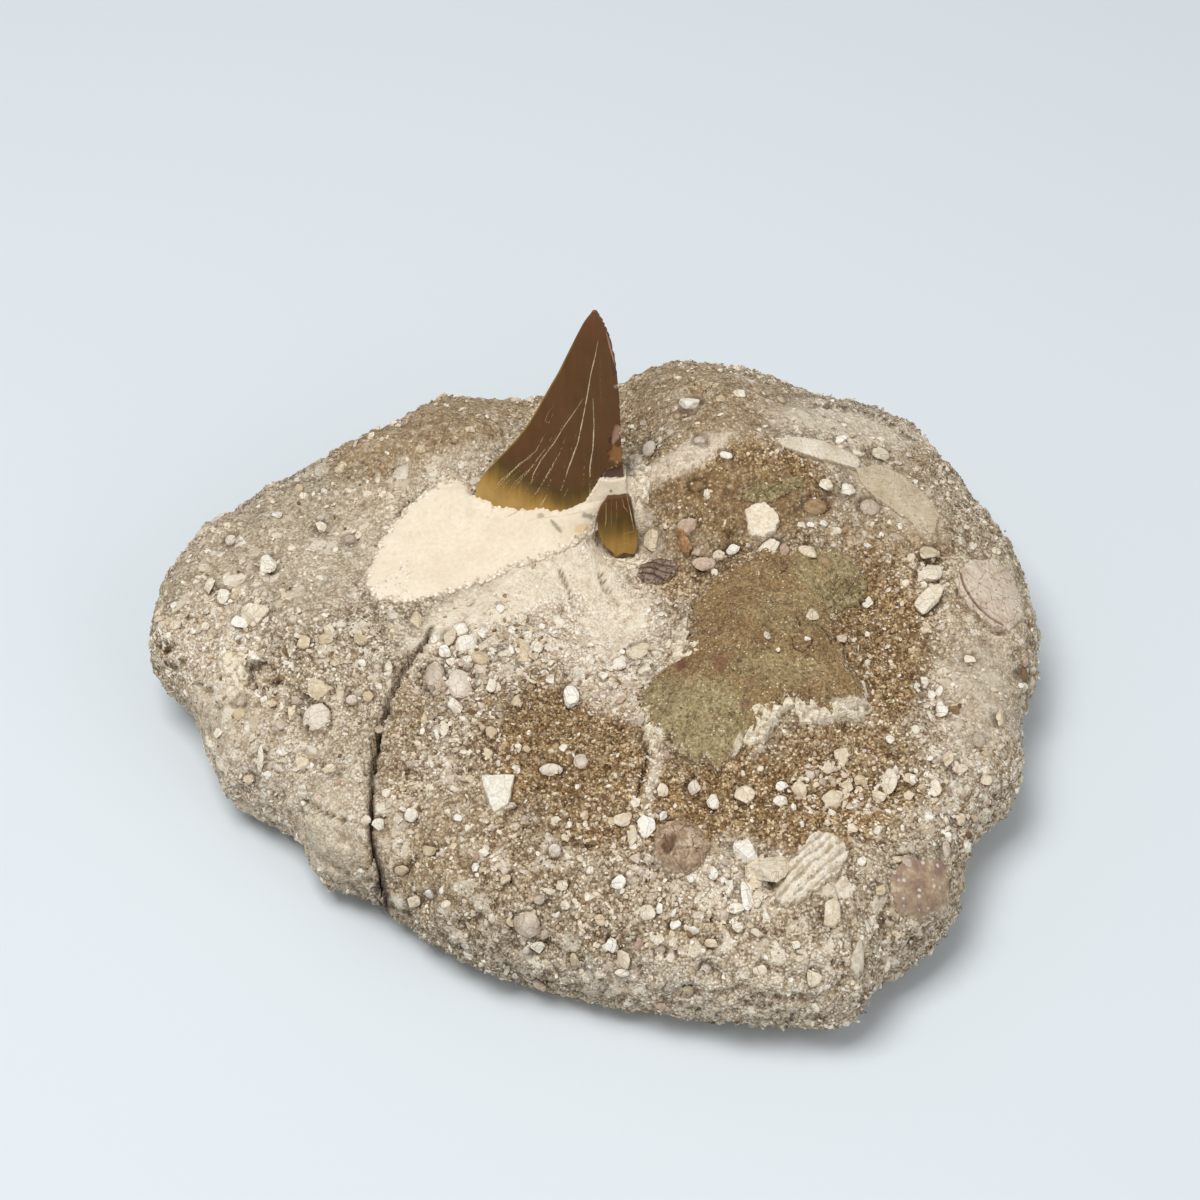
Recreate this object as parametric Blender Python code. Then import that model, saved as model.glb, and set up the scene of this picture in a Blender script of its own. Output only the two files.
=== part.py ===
"""A fossil shark tooth standing in the lump of phosphate sandstone that it was found in.

The frame: +Z is up, +X runs to the right of the tooth's broad face, and that face looks towards -Y.
The origin is on the floor, in the middle of the small flat spot that the lump rests on.
Every size and place below is in millimetres, and MM turns them into metres.
"""

import math

import bmesh
import bpy
from mathutils import Matrix, Vector, geometry, noise
from mathutils.bvhtree import BVHTree

MM = 0.001

# The clearance between one piece and the pocket that it sits in.
GAP = 0.35
# Further off than any point of the lump or of an outline.
FAR = 100.0

# The widest belt of the lump, corner by corner, anticlockwise from the right as seen from above:
# bearing in degrees, reach, height above the floor.
BELT = (
    (-3, 68.0, 14),
    (9, 73.5, 15),
    (20, 76.0, 16),
    (31, 73.5, 17),
    (52, 79.5, 18),
    (61, 74.0, 19),
    (80, 73.5, 18),
    (90, 64.5, 16),
    (100, 64.5, 16),
    (110, 68.0, 17),
    (129, 64.5, 16),
    (149, 74.5, 14),
    (171, 74.5, 13),
    (182, 66.5, 12),
    (194, 63.5, 11),
    (205, 54.5, 10),
    (215, 54.5, 10),
    (224, 49.5, 9),
    (243, 49.5, 8),
    (270, 53.5, 8),
    (296, 65.5, 8),
    (304, 70.0, 8),
    (309, 66.0, 8),
    (317, 70.0, 10),
    (325, 69.0, 11),
    (335, 64.5, 12),
    (346, 69.0, 13),
)

# The top of the lump: a level dome with swells and hollows on it.
# Each is x, y, rise, half-width and half-depth.
DOME_HEIGHT = 27.0
DOME_SWELLS = (
    (26, 34, 9, 28, 16),
    (18, 54, 8, 20, 14),
    (52, 24, 4, 16, 18),
    (-28, 46, 8, 26, 14),
    (-58, 16, 1, 16, 18),
    (-2, 44, -5, 10, 13),
    (4, 6, -4, 12, 16),
    (-46, -14, -3, 16, 14),
    (26, -6, 5, 20, 14),
    (-8, -30, 1, 20, 12),
    (3, 58, -6.5, 10, 12),
    (9, 31, 2.5, 6, 5),
    (7, 22, -4, 6, 5),
    (-14, 28, 1.2, 13, 8),
    (-38, -22, -1.5, 4, 18),
)
# How squarely the top turns down at its rim: 1 gives a plain ellipse, less gives a fuller shoulder.
SHOULDER_ACROSS = 0.8
SHOULDER_UP = 0.55
# Under 1, the rings of the surface are drawn out from the middle towards the rim.
RING_SPREAD = 0.62

# The underside, whose middle is worn flat.
BOTTOM_RISE = 3.0
FLAT_SPOT_SHARE = 0.55

# Lumps all over the surface: size across and height of each scale.
LUMPS = ((26.0, 2.0), (12.0, 1.3), (6.0, 0.5))

# The lump starts as a cube whose sides are cut this often, and its top takes this share of the height.
CUBE_CUTS = 17
TOP_SHARE = 0.66

# Pebbles of the sand that stand a little proud: x, y, half-width, half-depth.
PEBBLES = (
    (-54.4, 16.9, 1.6, 1.4),
    (-57.0, 5.9, 1.7, 1.2),
    (-55.2, 7.3, 1.6, 1.4),
    (-26.4, -7.4, 1.8, 2.0),
    (-21.5, -8.4, 1.8, 1.8),
    (-44.8, -10.6, 2.4, 2.2),
    (-44.6, -5.9, 2.2, 1.5),
    (-12.2, -3.5, 1.1, 1.9),
    (-4.5, -11.4, 1.1, 1.5),
    (-11.2, -48.6, 2.6, 2.0),
    (35.5, -30.5, 1.7, 1.8),
    (43.2, -25.6, 1.9, 1.8),
    (38.2, -24.0, 1.5, 1.2),
    (22.1, -39.6, 1.9, 1.4),
    (21.2, -46.1, 2.0, 2.0),
    (24.3, -47.7, 1.8, 1.7),
    (52.9, 18.0, 1.9, 1.6),
    (53.6, 13.6, 1.8, 1.4),
    (53.1, 8.9, 2.2, 1.7),
    (22.4, -30.3, 1.5, 1.3),
    (13.7, -29.2, 1.7, 1.5),
    (6.8, -35.7, 1.4, 1.3),
    (14.2, 23.3, 1.5, 1.2),
    (34.2, -49.1, 1.5, 1.3),
)
PEBBLE_FLATNESS = 0.8
PEBBLE_SINK = 0.45

# Scoops where pebbles fell out, and one dug in front of the heel: x, y, half-width, half-depth, depth.
PITS = (
    (-53.4, -3.1, 3.6, 3.2, 2.4),
    (-63.1, 1.9, 2.2, 1.8, 1.4),
    (-61.6, -5.0, 2.6, 1.8, 1.6),
    (15.9, -55.6, 2.4, 1.8, 1.6),
    (-15.7, -46.5, 1.9, 1.4, 1.3),
    (5.2, 23.2, 5.2, 4.5, 3.2),
)
# Each is the lower part of a ball whose middle is this far above the surface.
PIT_RAISE = 1.0

# The crack down the front left, from its fine end to the edge: x, y, width, height of its floor.
CRACK = (
    (-27.0, 3.5, 0.4, 24.5),
    (-29.0, -0.8, 0.9, 20.0),
    (-31.2, -5.0, 1.0, 17.0),
    (-33.4, -10.5, 1.2, 15.0),
    (-34.9, -18.0, 1.7, 14.0),
    (-35.2, -26.0, 1.3, 13.0),
    (-35.1, -32.5, 1.2, 11.0),
    (-33.4, -37.0, 1.3, 7.0),
    (-31.5, -43.0, 1.6, 3.0),
)
CRACK_TOP = 40.0
CRACK_FLOOR_WIDTH = 0.4
# The crack is as wide as stated at this height above its floor.
CRACK_MOUTH = 10.0

# An inlaid piece: where its top rounds off, as a share of its reach, and where its widest ring lies, as a
# share of its depth. The sides and the roof of its pocket stand well clear of the surface.
EDGE_RING = 0.86
RIM_SINK = 0.3
POCKET_TOP = 6.0
# A reach is read just past its bearing, so that no reading runs exactly through a corner.
CORNER_TURN = 0.013
# A surface is looked for from this far above it.
LOOK_FROM = 15.0

# The tooth's broad face stands on TOOTH_FOOT, where the putty closes round it, and leans back.
TOOTH_FOOT = (-7.5, 27.5, 30.0)
TOOTH_LEAN = 20.0
# The crown before it broke, from its buried foot to its tip: height, left edge, right edge.
CROWN_EDGES = (
    (-11.0, -12.6, 13.2),
    (-7.0, -13.4, 13.7),
    (-3.0, -13.4, 13.3),
    (1.7, -13.0, 12.1),
    (3.5, -12.7, 11.7),
    (5.3, -11.8, 11.4),
    (7.2, -10.3, 11.2),
    (9.4, -8.3, 11.0),
    (11.8, -6.2, 10.9),
    (14.6, -4.2, 10.8),
    (17.6, -2.5, 10.7),
    (20.7, -0.9, 10.5),
    (23.8, 0.8, 10.2),
    (27.0, 2.3, 9.8),
    (30.0, 3.7, 9.1),
    (32.4, 4.9, 8.2),
    (34.2, 6.2, 7.1),
)
CROWN_SIDES = 16
# The thickness follows the half-width by a power law, and most of it is on the back.
THICKNESS_SCALE = 1.1
THICKNESS_POWER = 0.8
FRONT_SHARE = 0.2
BACK_SHARE = 0.8

# What broke off the crown, in its own face: left of it, the crown goes on down into the sand.
BREAK_LINE = ((5.9, -14), (5.9, 1.7), (7.3, 2.3), (7.4, 4.4), (9.0, 5.0), (16, 4.8), (16, -14))
# The corner that was set back in place, and how far in front of the crown's face it stands.
HEEL_LINE = (
    (8.4, 2.1),
    (12.4, 2.0),
    (16.0, -1.0),
    (16.0, -10.5),
    (9.0, -10.5),
    (7.0, -5.0),
    (6.9, -2.0),
    (7.3, 0.4),
)
HEEL_STEP = 1.5
CROWN_FOOT_HEIGHT = -7.0
# Half the length of a slab that goes right through the tooth.
THROUGH = 20.0

# The strip of putty between the crown and its corner.
BRIDGE_LINE = (
    (4.6, -3.0),
    (4.6, 1.4),
    (6.8, 2.0),
    (7.0, 4.0),
    (11.8, 4.6),
    (12.6, 1.4),
    (9.5, 1.4),
    (6.4, -3.0),
)
BRIDGE_FRONT = 1.9
BRIDGE_BACK = -3.0
# How much further its pocket is open in front.
BRIDGE_OPENING = 4.0

# Swells on the inlaid pieces, each x, y, rise, half-width and half-depth from the seat of the piece.
# The putty is drawn up against the foot of the tooth, and the bone plate's edge is lifted and crumbly.
PUTTY_COLLAR = ((-1, 6.5, 2.3, 5, 4), (9, 6, 3.0, 8, 4), (16.5, 6.5, 3.2, 5, 4.5))
PLATE_LIFTS = ((13, -8, 1.6, 5, 4), (4, -8, 1.0, 5, 3), (7.5, 0.5, 0.9, 2.4, 2.4), (-12, -10, 0.5, 6, 6))

# The ribs that run along the pale fragment: their height, and how fast they follow each other.
FRAGMENT_RIB_HEIGHT = 0.3
FRAGMENT_RIB_PACE = 2.2
# The dome of the round boss, and the ribs that run out from its middle.
BOSS_RISE = 0.7
BOSS_REACH = 4.5
BOSS_RIBS = 7
BOSS_RIB_HEIGHT = 0.2


def reach_at(outline, bearing):
    """How far an outline reaches from its middle at a bearing in radians."""
    middle = Vector((0, 0))
    far = Vector((math.cos(bearing), math.sin(bearing))) * FAR
    reaches = []
    for start, end in zip(outline, outline[1:] + outline[:1]):
        crossing = geometry.intersect_line_line_2d(middle, far, Vector(start), Vector(end))
        if crossing:
            reaches.append(crossing.length)
    return max(reaches)


def belt_at(bearing):
    """Reach and height of the belt at a bearing in degrees, on a smooth closed curve through BELT."""
    bearing = (bearing - BELT[0][0]) % 360 + BELT[0][0]
    count = len(BELT)
    after = next((i for i, row in enumerate(BELT) if row[0] > bearing), count)
    rows = []
    for i in range(after - 2, after + 2):
        turns, place = divmod(i, count)
        rows.append((BELT[place][0] + 360 * turns, Vector(BELT[place][1:])))
    (a0, p0), (a1, p1), (a2, p2), (a3, p3) = rows
    span = a2 - a1
    t = (bearing - a1) / span
    start = (p2 - p0) * span / (a2 - a0)
    end = (p3 - p1) * span / (a3 - a1)
    value = (
        p1 * (2 * t**3 - 3 * t**2 + 1)
        + start * (t**3 - 2 * t**2 + t)
        + p2 * (3 * t**2 - 2 * t**3)
        + end * (t**3 - t**2)
    )
    return value.x, value.y


def swell_at(swells, x, y):
    """The sum of round swells at a point, each x, y, rise, half-width and half-depth."""
    height = 0.0
    for middle_x, middle_y, rise, half_x, half_y in swells:
        height += rise * math.exp(-(((x - middle_x) / half_x) ** 2) - ((y - middle_y) / half_y) ** 2)
    return height


def place_on_lump(direction):
    """Where a direction on the unit sphere lies on the lump: the upper ones are spread over its top."""
    bearing = math.degrees(math.atan2(direction.y, direction.x))
    reach, belt = belt_at(bearing)
    level = 1 - 2 * TOP_SHARE
    upper = direction.z > level
    share = (1 - direction.z) / (1 - level) if upper else (1 + direction.z) / (1 + level)
    turn = math.pi / 2 * share**RING_SPREAD
    across = math.sin(turn) ** SHOULDER_ACROSS
    up = math.cos(turn) ** SHOULDER_UP
    place = Vector((direction.x, direction.y, 0)).normalized() * reach * across
    if upper:
        place.z = belt + (DOME_HEIGHT + swell_at(DOME_SWELLS, place.x, place.y) - belt) * up
    else:
        place.z = max(0.0, belt - (belt + BOTTOM_RISE) * up)
    return place, across, upper


def shape_lump():
    """The whole lump, uncut: a cube sphere drawn out to the belt, the dome and the worn underside."""
    bm = bmesh.new()
    bmesh.ops.create_cube(bm, size=2)
    bmesh.ops.subdivide_edges(bm, edges=bm.edges, cuts=CUBE_CUTS, use_grid_fill=True)
    flat_spot = []
    for vert in bm.verts:
        even = Vector(math.tan(c * math.pi / 4) for c in vert.co)
        vert.co, across, upper = place_on_lump(even.normalized())
        if not upper and across < FLAT_SPOT_SHARE:
            flat_spot.append(vert)
    bm.normal_update()
    normals = [vert.normal.copy() for vert in bm.verts]
    for vert, normal in zip(bm.verts, normals):
        vert.co += normal * sum(rise * noise.noise(vert.co / size) for size, rise in LUMPS)
    for vert in flat_spot:
        vert.co.z = 0
    for vert in bm.verts:
        vert.co.z = max(vert.co.z, 0)
    return bm


def seat_on(ground, x, y, spread):
    """A frame on the lump at a point: Z along the surface's normal, X as near to the right as it goes."""
    place, normal, _, _ = ground.ray_cast(Vector((x, y, FAR)), Vector((0, 0, -1)))
    for turn in range(8):
        aside = Vector((math.cos(turn * math.pi / 4), math.sin(turn * math.pi / 4), 0)) * spread
        nearby = ground.ray_cast(Vector((x, y, FAR)) + aside, Vector((0, 0, -1)))[1]
        normal = normal + nearby if nearby else normal
    normal.normalize()
    right = (Vector((1, 0, 0)) - normal * normal.x).normalized()
    frame = Matrix((right, normal.cross(right), normal)).transposed().to_4x4()
    frame.translation = place
    return frame


def depth_below(ground, frame, x, y):
    """The height of the lump's surface over a point of a seat's frame."""
    normal = frame.col[2].to_3d()
    start = frame @ Vector((x, y, LOOK_FROM))
    hit = ground.ray_cast(start, -normal)[0]
    return (hit - start).dot(normal) + LOOK_FROM if hit else 0.0


def draw_out(outline, rows, sides):
    """A turned blank whose reach follows an outline.

    Each row is a share of the reach, a widening and a height.
    Returns the blank, still flat, and a list of each vertex with the height that it is to have.
    """
    bm = bmesh.new()
    profile = [bm.verts.new((share, 0, index)) for index, (share, _, _) in enumerate(rows)]
    edges = [bm.edges.new(pair) for pair in zip(profile, profile[1:])]
    bmesh.ops.spin(
        bm,
        geom=profile + edges,
        cent=(0, 0, 0),
        axis=(0, 0, 1),
        dvec=(0, 0, 0),
        angle=2 * math.pi,
        steps=sides,
        use_merge=True,
    )
    bmesh.ops.remove_doubles(bm, verts=bm.verts, dist=1e-4)
    heights = []
    for vert in bm.verts:
        share, widening, height = rows[round(vert.co.z)]
        bearing = math.atan2(vert.co.y, vert.co.x)
        reach = reach_at(outline, bearing + CORNER_TURN) * share + widening if share else 0
        vert.co = Vector((math.cos(bearing), math.sin(bearing), 0)) * reach
        heights.append((vert, height))
    return bm, heights


def add_object(name, bm, collection, frame=None):
    """Make an object of a mesh in millimetres, placed by a frame in millimetres."""
    bmesh.ops.scale(bm, vec=(MM, MM, MM), verts=bm.verts)
    mesh = bpy.data.meshes.new(name)
    bm.to_mesh(mesh)
    bm.free()
    item = bpy.data.objects.new(name, mesh)
    if frame:
        item.location = frame.translation * MM
        item.rotation_euler = frame.to_euler()
    collection.objects.link(item)
    return item


def add_helper(name, bm, collection, frame=None):
    """A shape that only cuts or joins: drawn as wire and left out of a render."""
    item = add_object(name, bm, collection, frame)
    item.display_type = "WIRE"
    item.hide_render = True
    return item


def paint(item, colour, roughness):
    """Give a part a material of its own: its colour and how matt it is."""
    material = bpy.data.materials.new(item.name)
    material.use_nodes = True
    shader = material.node_tree.nodes["Principled BSDF"]
    shader.inputs["Base Color"].default_value = (*colour, 1)
    shader.inputs["Roughness"].default_value = roughness
    shader.inputs["Metallic"].default_value = 0
    item.data.materials.append(material)


def add_boolean(item, operation, other):
    """Join, cut or trim a part by another object or by everything in a collection."""
    modifier = item.modifiers.new(operation.lower(), "BOOLEAN")
    modifier.operation = operation
    modifier.solver = "EXACT"
    if isinstance(other, bpy.types.Collection):
        modifier.operand_type = "COLLECTION"
        modifier.collection = other
    else:
        modifier.object = other


def inlay(ground, seat, outline, proud, deep, sides, relief=None, inner_rings=()):
    """A piece set in the lump, and the pocket for it: (piece, pocket, frame).

    inner_rings are shares of the reach at which a wide piece follows the lump's own swells.
    """
    spread = 0.5 * min(Vector(point).length for point in outline)
    frame = seat_on(ground, *seat, spread)
    below = [(share, 0, -deep) for share in inner_rings]
    above = [(share, 0, proud) for share in (*inner_rings, EDGE_RING)][::-1]
    rows = [(0, 0, -deep), *below, (1, 0, -RIM_SINK * deep), *above, (0, 0, proud)]
    piece, heights = draw_out(outline, rows, sides)
    for vert, height in heights:
        surface = depth_below(ground, frame, vert.co.x, vert.co.y)
        extra = relief(vert.co.x, vert.co.y) if relief and height > 0 else 0
        vert.co.z = surface + height + extra
    bmesh.ops.recalc_face_normals(piece, faces=piece.faces)
    floor = -deep - 2 * GAP
    rings = [(share, share * GAP, floor) for share in (*inner_rings, 1)]
    rows = [(0, 0, floor), *rings, (1, GAP, POCKET_TOP), (0, 0, POCKET_TOP)]
    pocket, heights = draw_out(outline, rows, sides)
    for vert, height in heights:
        vert.co.z = depth_below(ground, frame, vert.co.x, vert.co.y) + height
    bmesh.ops.recalc_face_normals(pocket, faces=pocket.faces)
    return piece, pocket, frame


def blank_crown(grow=0.0, foot=CROWN_EDGES[0][0]):
    """The crown before it broke: a post whose rings are drawn out to its edges, each ring a lens."""
    rows = [row for row in CROWN_EDGES if row[0] >= foot]
    bm = bmesh.new()
    bmesh.ops.create_cone(bm, cap_ends=True, segments=CROWN_SIDES, radius1=1, radius2=1, depth=1)
    sides = [edge for edge in bm.edges if abs(edge.verts[0].co.z - edge.verts[1].co.z) > 0.5]
    bmesh.ops.subdivide_edges(bm, edges=sides, cuts=len(rows) - 2, use_grid_fill=True)
    for vert in bm.verts:
        level = round((vert.co.z + 0.5) * (len(rows) - 1))
        height, left, right = rows[level]
        turn = math.atan2(vert.co.y, vert.co.x)
        half = (right - left) / 2
        thickness = THICKNESS_SCALE * half**THICKNESS_POWER
        share = BACK_SHARE if vert.co.y > 0 else FRONT_SHARE
        bulge = thickness * share * math.sin(turn) ** 2 + grow * abs(math.sin(turn))
        vert.co.x = (left + right) / 2 + (half + grow) * math.cos(turn)
        vert.co.y = math.copysign(bulge, vert.co.y)
        vert.co.z = height - grow if level == 0 else height
    return bm


def slab(line, front, back):
    """A flat slab across the tooth's face, from an outline in that face."""
    bm = bmesh.new()
    face = bm.faces.new([bm.verts.new((x, -front, z)) for x, z in line])
    made = bmesh.ops.extrude_face_region(bm, geom=[face])
    moved = [item for item in made["geom"] if isinstance(item, bmesh.types.BMVert)]
    bmesh.ops.translate(bm, vec=(0, front - back, 0), verts=moved)
    bmesh.ops.recalc_face_normals(bm, faces=bm.faces)
    return bm


def widened(line, amount):
    """A clockwise outline whose edges are all moved out by an amount, or in by a negative one."""
    corners = []
    for before, here, after in zip(line[-1:] + line[:-1], line, line[1:] + line[:1]):
        sides = Vector((0, 0))
        for start, end in ((before, here), (here, after)):
            along = (Vector(end) - Vector(start)).normalized()
            sides += Vector((-along.y, along.x))
        corners.append(Vector(here) + sides * 2 * amount / sides.length_squared)
    return corners


def tooth_frame(step=0.0):
    """The frame of the tooth's face, moved towards its front by a step."""
    turn = Matrix.Rotation(math.radians(-TOOTH_LEAN), 4, "X")
    frame = Matrix.Translation(TOOTH_FOOT) @ turn
    return frame @ Matrix.Translation((0, -step, 0))


def make_matrix(bm, parts, pebbles, cutters):
    """The lump of sandstone with its pebbles, its crack and the pockets of all that is set in it."""
    item = add_object("matrix", bm, parts)
    paint(item, (0.45, 0.38, 0.28), 0.95)
    add_boolean(item, "UNION", pebbles)
    add_boolean(item, "DIFFERENCE", cutters)


def make_pebbles(ground, pebbles):
    """The larger pebbles: small angular stones sunk in the surface."""
    for index, (x, y, half_x, half_y) in enumerate(PEBBLES):
        frame = seat_on(ground, x, y, half_x)
        bm = bmesh.new()
        bmesh.ops.create_icosphere(bm, subdivisions=1, radius=1, matrix=Matrix.Rotation(index, 4, "Z"))
        half_z = PEBBLE_FLATNESS * min(half_x, half_y)
        bmesh.ops.scale(bm, vec=(half_x, half_y, half_z), verts=bm.verts)
        frame = frame @ Matrix.Translation((0, 0, -PEBBLE_SINK * half_z))
        add_helper(f"pebble_{index}", bm, pebbles, frame)


def cut_pits(ground, cutters):
    """The scoops that lost pebbles left."""
    for index, (x, y, half_x, half_y, depth) in enumerate(PITS):
        frame = seat_on(ground, x, y, half_x)
        bm = bmesh.new()
        bmesh.ops.create_icosphere(bm, subdivisions=2, radius=1)
        bmesh.ops.scale(bm, vec=(half_x, half_y, depth + PIT_RAISE), verts=bm.verts)
        add_helper(f"pit_{index}", bm, cutters, frame @ Matrix.Translation((0, 0, PIT_RAISE)))


def cut_crack(cutters):
    """The crack: a wall along its path, wide at the top and narrow at its floor."""
    bm = bmesh.new()
    bmesh.ops.create_cube(bm, size=1)
    sides = [edge for edge in bm.edges if abs(edge.verts[0].co.x - edge.verts[1].co.x) > 0.5]
    bmesh.ops.subdivide_edges(bm, edges=sides, cuts=len(CRACK) - 2, use_grid_fill=True)
    for vert in bm.verts:
        station = round((vert.co.x + 0.5) * (len(CRACK) - 1))
        x, y, width, floor = CRACK[station]
        before = CRACK[max(station - 1, 0)]
        after = CRACK[min(station + 1, len(CRACK) - 1)]
        along = Vector((after[0] - before[0], after[1] - before[1])).normalized()
        top = vert.co.z > 0
        half = math.copysign((width if top else CRACK_FLOOR_WIDTH) / 2, vert.co.y)
        # The walls close from the surface down, so above it they go on opening at the same slope.
        rise = (CRACK_TOP - floor) / CRACK_MOUTH if top else 1
        aside = Vector((-along.y, along.x)) * half * rise
        vert.co = Vector((x + aside.x, y + aside.y, CRACK_TOP if top else floor))
    bmesh.ops.recalc_face_normals(bm, faces=bm.faces)
    add_helper("crack_cutter", bm, cutters)


def make_tooth(parts, cutters, tooth_helpers):
    """The crown and its broken corner, with their sockets.

    Returns the clearances that the putty is cut by.
    """
    frame = tooth_frame()
    heel_frame = tooth_frame(HEEL_STEP)
    crown = add_object("tooth_crown", blank_crown(foot=CROWN_FOOT_HEIGHT), parts, frame)
    paint(crown, (0.15, 0.083, 0.037), 0.28)
    broken = add_helper("break_slab", slab(BREAK_LINE, THROUGH, -THROUGH), tooth_helpers, frame)
    add_boolean(crown, "DIFFERENCE", broken)

    heel = add_object("crown_heel", blank_crown(), parts, heel_frame)
    paint(heel, (0.22, 0.112, 0.031), 0.3)
    kept = add_helper("heel_slab", slab(HEEL_LINE, THROUGH, -THROUGH), tooth_helpers, heel_frame)
    add_boolean(heel, "INTERSECT", kept)

    add_helper("crown_socket", blank_crown(GAP, CROWN_FOOT_HEIGHT), cutters, frame)
    socket = add_helper("heel_socket", blank_crown(GAP), cutters, heel_frame)
    wide_slab = slab(widened(HEEL_LINE, GAP), THROUGH, -THROUGH)
    wide_slab = add_helper("heel_socket_slab", wide_slab, tooth_helpers, heel_frame)
    add_boolean(socket, "INTERSECT", wide_slab)

    clearance = add_helper("crown_clearance", blank_crown(GAP, CROWN_FOOT_HEIGHT), tooth_helpers, frame)
    narrow_slab = slab(widened(BREAK_LINE, -GAP), THROUGH, -THROUGH)
    narrow_slab = add_helper("clearance_slab", narrow_slab, tooth_helpers, frame)
    add_boolean(clearance, "DIFFERENCE", narrow_slab)
    return [clearance, socket]


def make_putty(ground, parts, cutters, tooth_helpers, clearances):
    """The cream putty: a smooth lens in front of the crown, and a strip up into the break."""
    outline = (
        (-19.2, -9.0),
        (-17.7, -2.8),
        (-15.3, 3.3),
        (-12.0, 6.8),
        (-8.0, 8.8),
        (-3.5, 9.0),
        (2.0, 8.2),
        (11.6, 8.0),
        (18.5, 8.6),
        (20.5, 6.5),
        (18.5, 3.5),
        (16.0, 0.0),
        (13.0, -2.5),
        (9.3, -4.3),
        (4.0, -6.7),
        (0.0, -8.7),
        (-7.2, -11.7),
        (-12.7, -13.9),
        (-17.0, -13.6),
    )
    seat = (-18.3, 23.2)

    def relief(x, y):
        return swell_at(PUTTY_COLLAR, x, y)

    piece, pocket, frame = inlay(ground, seat, outline, 0.6, 1.6, 30, relief, (0.3, 0.6))
    putty = add_object("putty_fill", piece, parts, frame)
    paint(putty, (0.90, 0.80, 0.64), 0.8)
    add_helper("putty_pocket", pocket, cutters, frame)
    bridge = slab(BRIDGE_LINE, BRIDGE_FRONT, BRIDGE_BACK)
    bridge = add_helper("putty_bridge", bridge, tooth_helpers, tooth_frame())
    add_boolean(putty, "UNION", bridge)
    for clearance in clearances:
        add_boolean(putty, "DIFFERENCE", clearance)
    wide = slab(widened(BRIDGE_LINE, GAP), BRIDGE_FRONT + BRIDGE_OPENING, BRIDGE_BACK - GAP)
    add_helper("bridge_pocket", wide, cutters, tooth_frame())


def make_bone_plate(ground, parts, cutters):
    """The slab of bone lying flat in the top: its front right edge is lifted and crumbly."""
    outline = (
        (-7.6, 17.4),
        (-2.0, 21.0),
        (6.8, 22.7),
        (15.2, 23.0),
        (16.8, 20.8),
        (15.4, 15.7),
        (12.5, 12.0),
        (11.2, 4.3),
        (12.9, -1.6),
        (15.6, -5.4),
        (15.7, -9.4),
        (10.8, -11.6),
        (3.8, -9.3),
        (1.0, -11.4),
        (0.0, -14.6),
        (-4.5, -19.2),
        (-8.5, -20.8),
        (-12.0, -19.6),
        (-14.5, -16.8),
        (-18.5, -12.8),
        (-19.8, -6.7),
        (-17.8, -3.2),
        (-12.5, 0.7),
        (-11.3, 6.9),
        (-11.2, 13.8),
    )

    def relief(x, y):
        return swell_at(PLATE_LIFTS, x, y)

    piece, pocket, frame = inlay(ground, (25.6, -5.2), outline, 0.9, 2.0, 36, relief, (0.3, 0.6))
    paint(add_object("bone_plate", piece, parts, frame), (0.31, 0.20, 0.09), 0.75)
    add_helper("bone_plate_pocket", pocket, cutters, frame)


def make_scale_fragment(ground, parts, cutters):
    """The pale fragment at the front right, with ribs running along it."""
    outline = (
        (1.6, 7.0),
        (4.3, 6.3),
        (6.4, 4.0),
        (5.6, 1.5),
        (3.8, -1.2),
        (0.6, -3.8),
        (-3.2, -6.7),
        (-4.9, -5.5),
        (-5.4, -2.5),
        (-4.0, 0.3),
        (-2.0, 2.4),
        (-0.8, 4.7),
    )

    def relief(x, y):
        return FRAGMENT_RIB_HEIGHT * math.sin(FRAGMENT_RIB_PACE * (x - y))

    piece, pocket, frame = inlay(ground, (31.5, -42.7), outline, 0.8, 1.5, 24, relief, (0.5,))
    paint(add_object("scale_fragment", piece, parts, frame), (0.72, 0.64, 0.50), 0.85)
    add_helper("scale_fragment_pocket", pocket, cutters, frame)


def make_ribbed_boss(ground, parts, cutters):
    """The round boss beside it: a low dome with ribs running out from its middle."""
    outline = (
        (-4.0, 2.7),
        (-2.0, 4.1),
        (0.5, 4.1),
        (3.1, 3.0),
        (4.2, -0.2),
        (3.4, -2.9),
        (1.1, -4.5),
        (-2.1, -4.2),
        (-4.2, -1.9),
    )

    def relief(x, y):
        dome = BOSS_RISE * (1 - math.hypot(x, y) / BOSS_REACH)
        return dome + BOSS_RIB_HEIGHT * math.cos(BOSS_RIBS * math.atan2(y, x))

    piece, pocket, frame = inlay(ground, (12.3, -39.1), outline, 0.6, 1.6, 28, relief, (0.5,))
    paint(add_object("ribbed_boss", piece, parts, frame), (0.29, 0.20, 0.13), 0.8)
    add_helper("ribbed_boss_pocket", pocket, cutters, frame)


PLAIN_SIDES = 15

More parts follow.
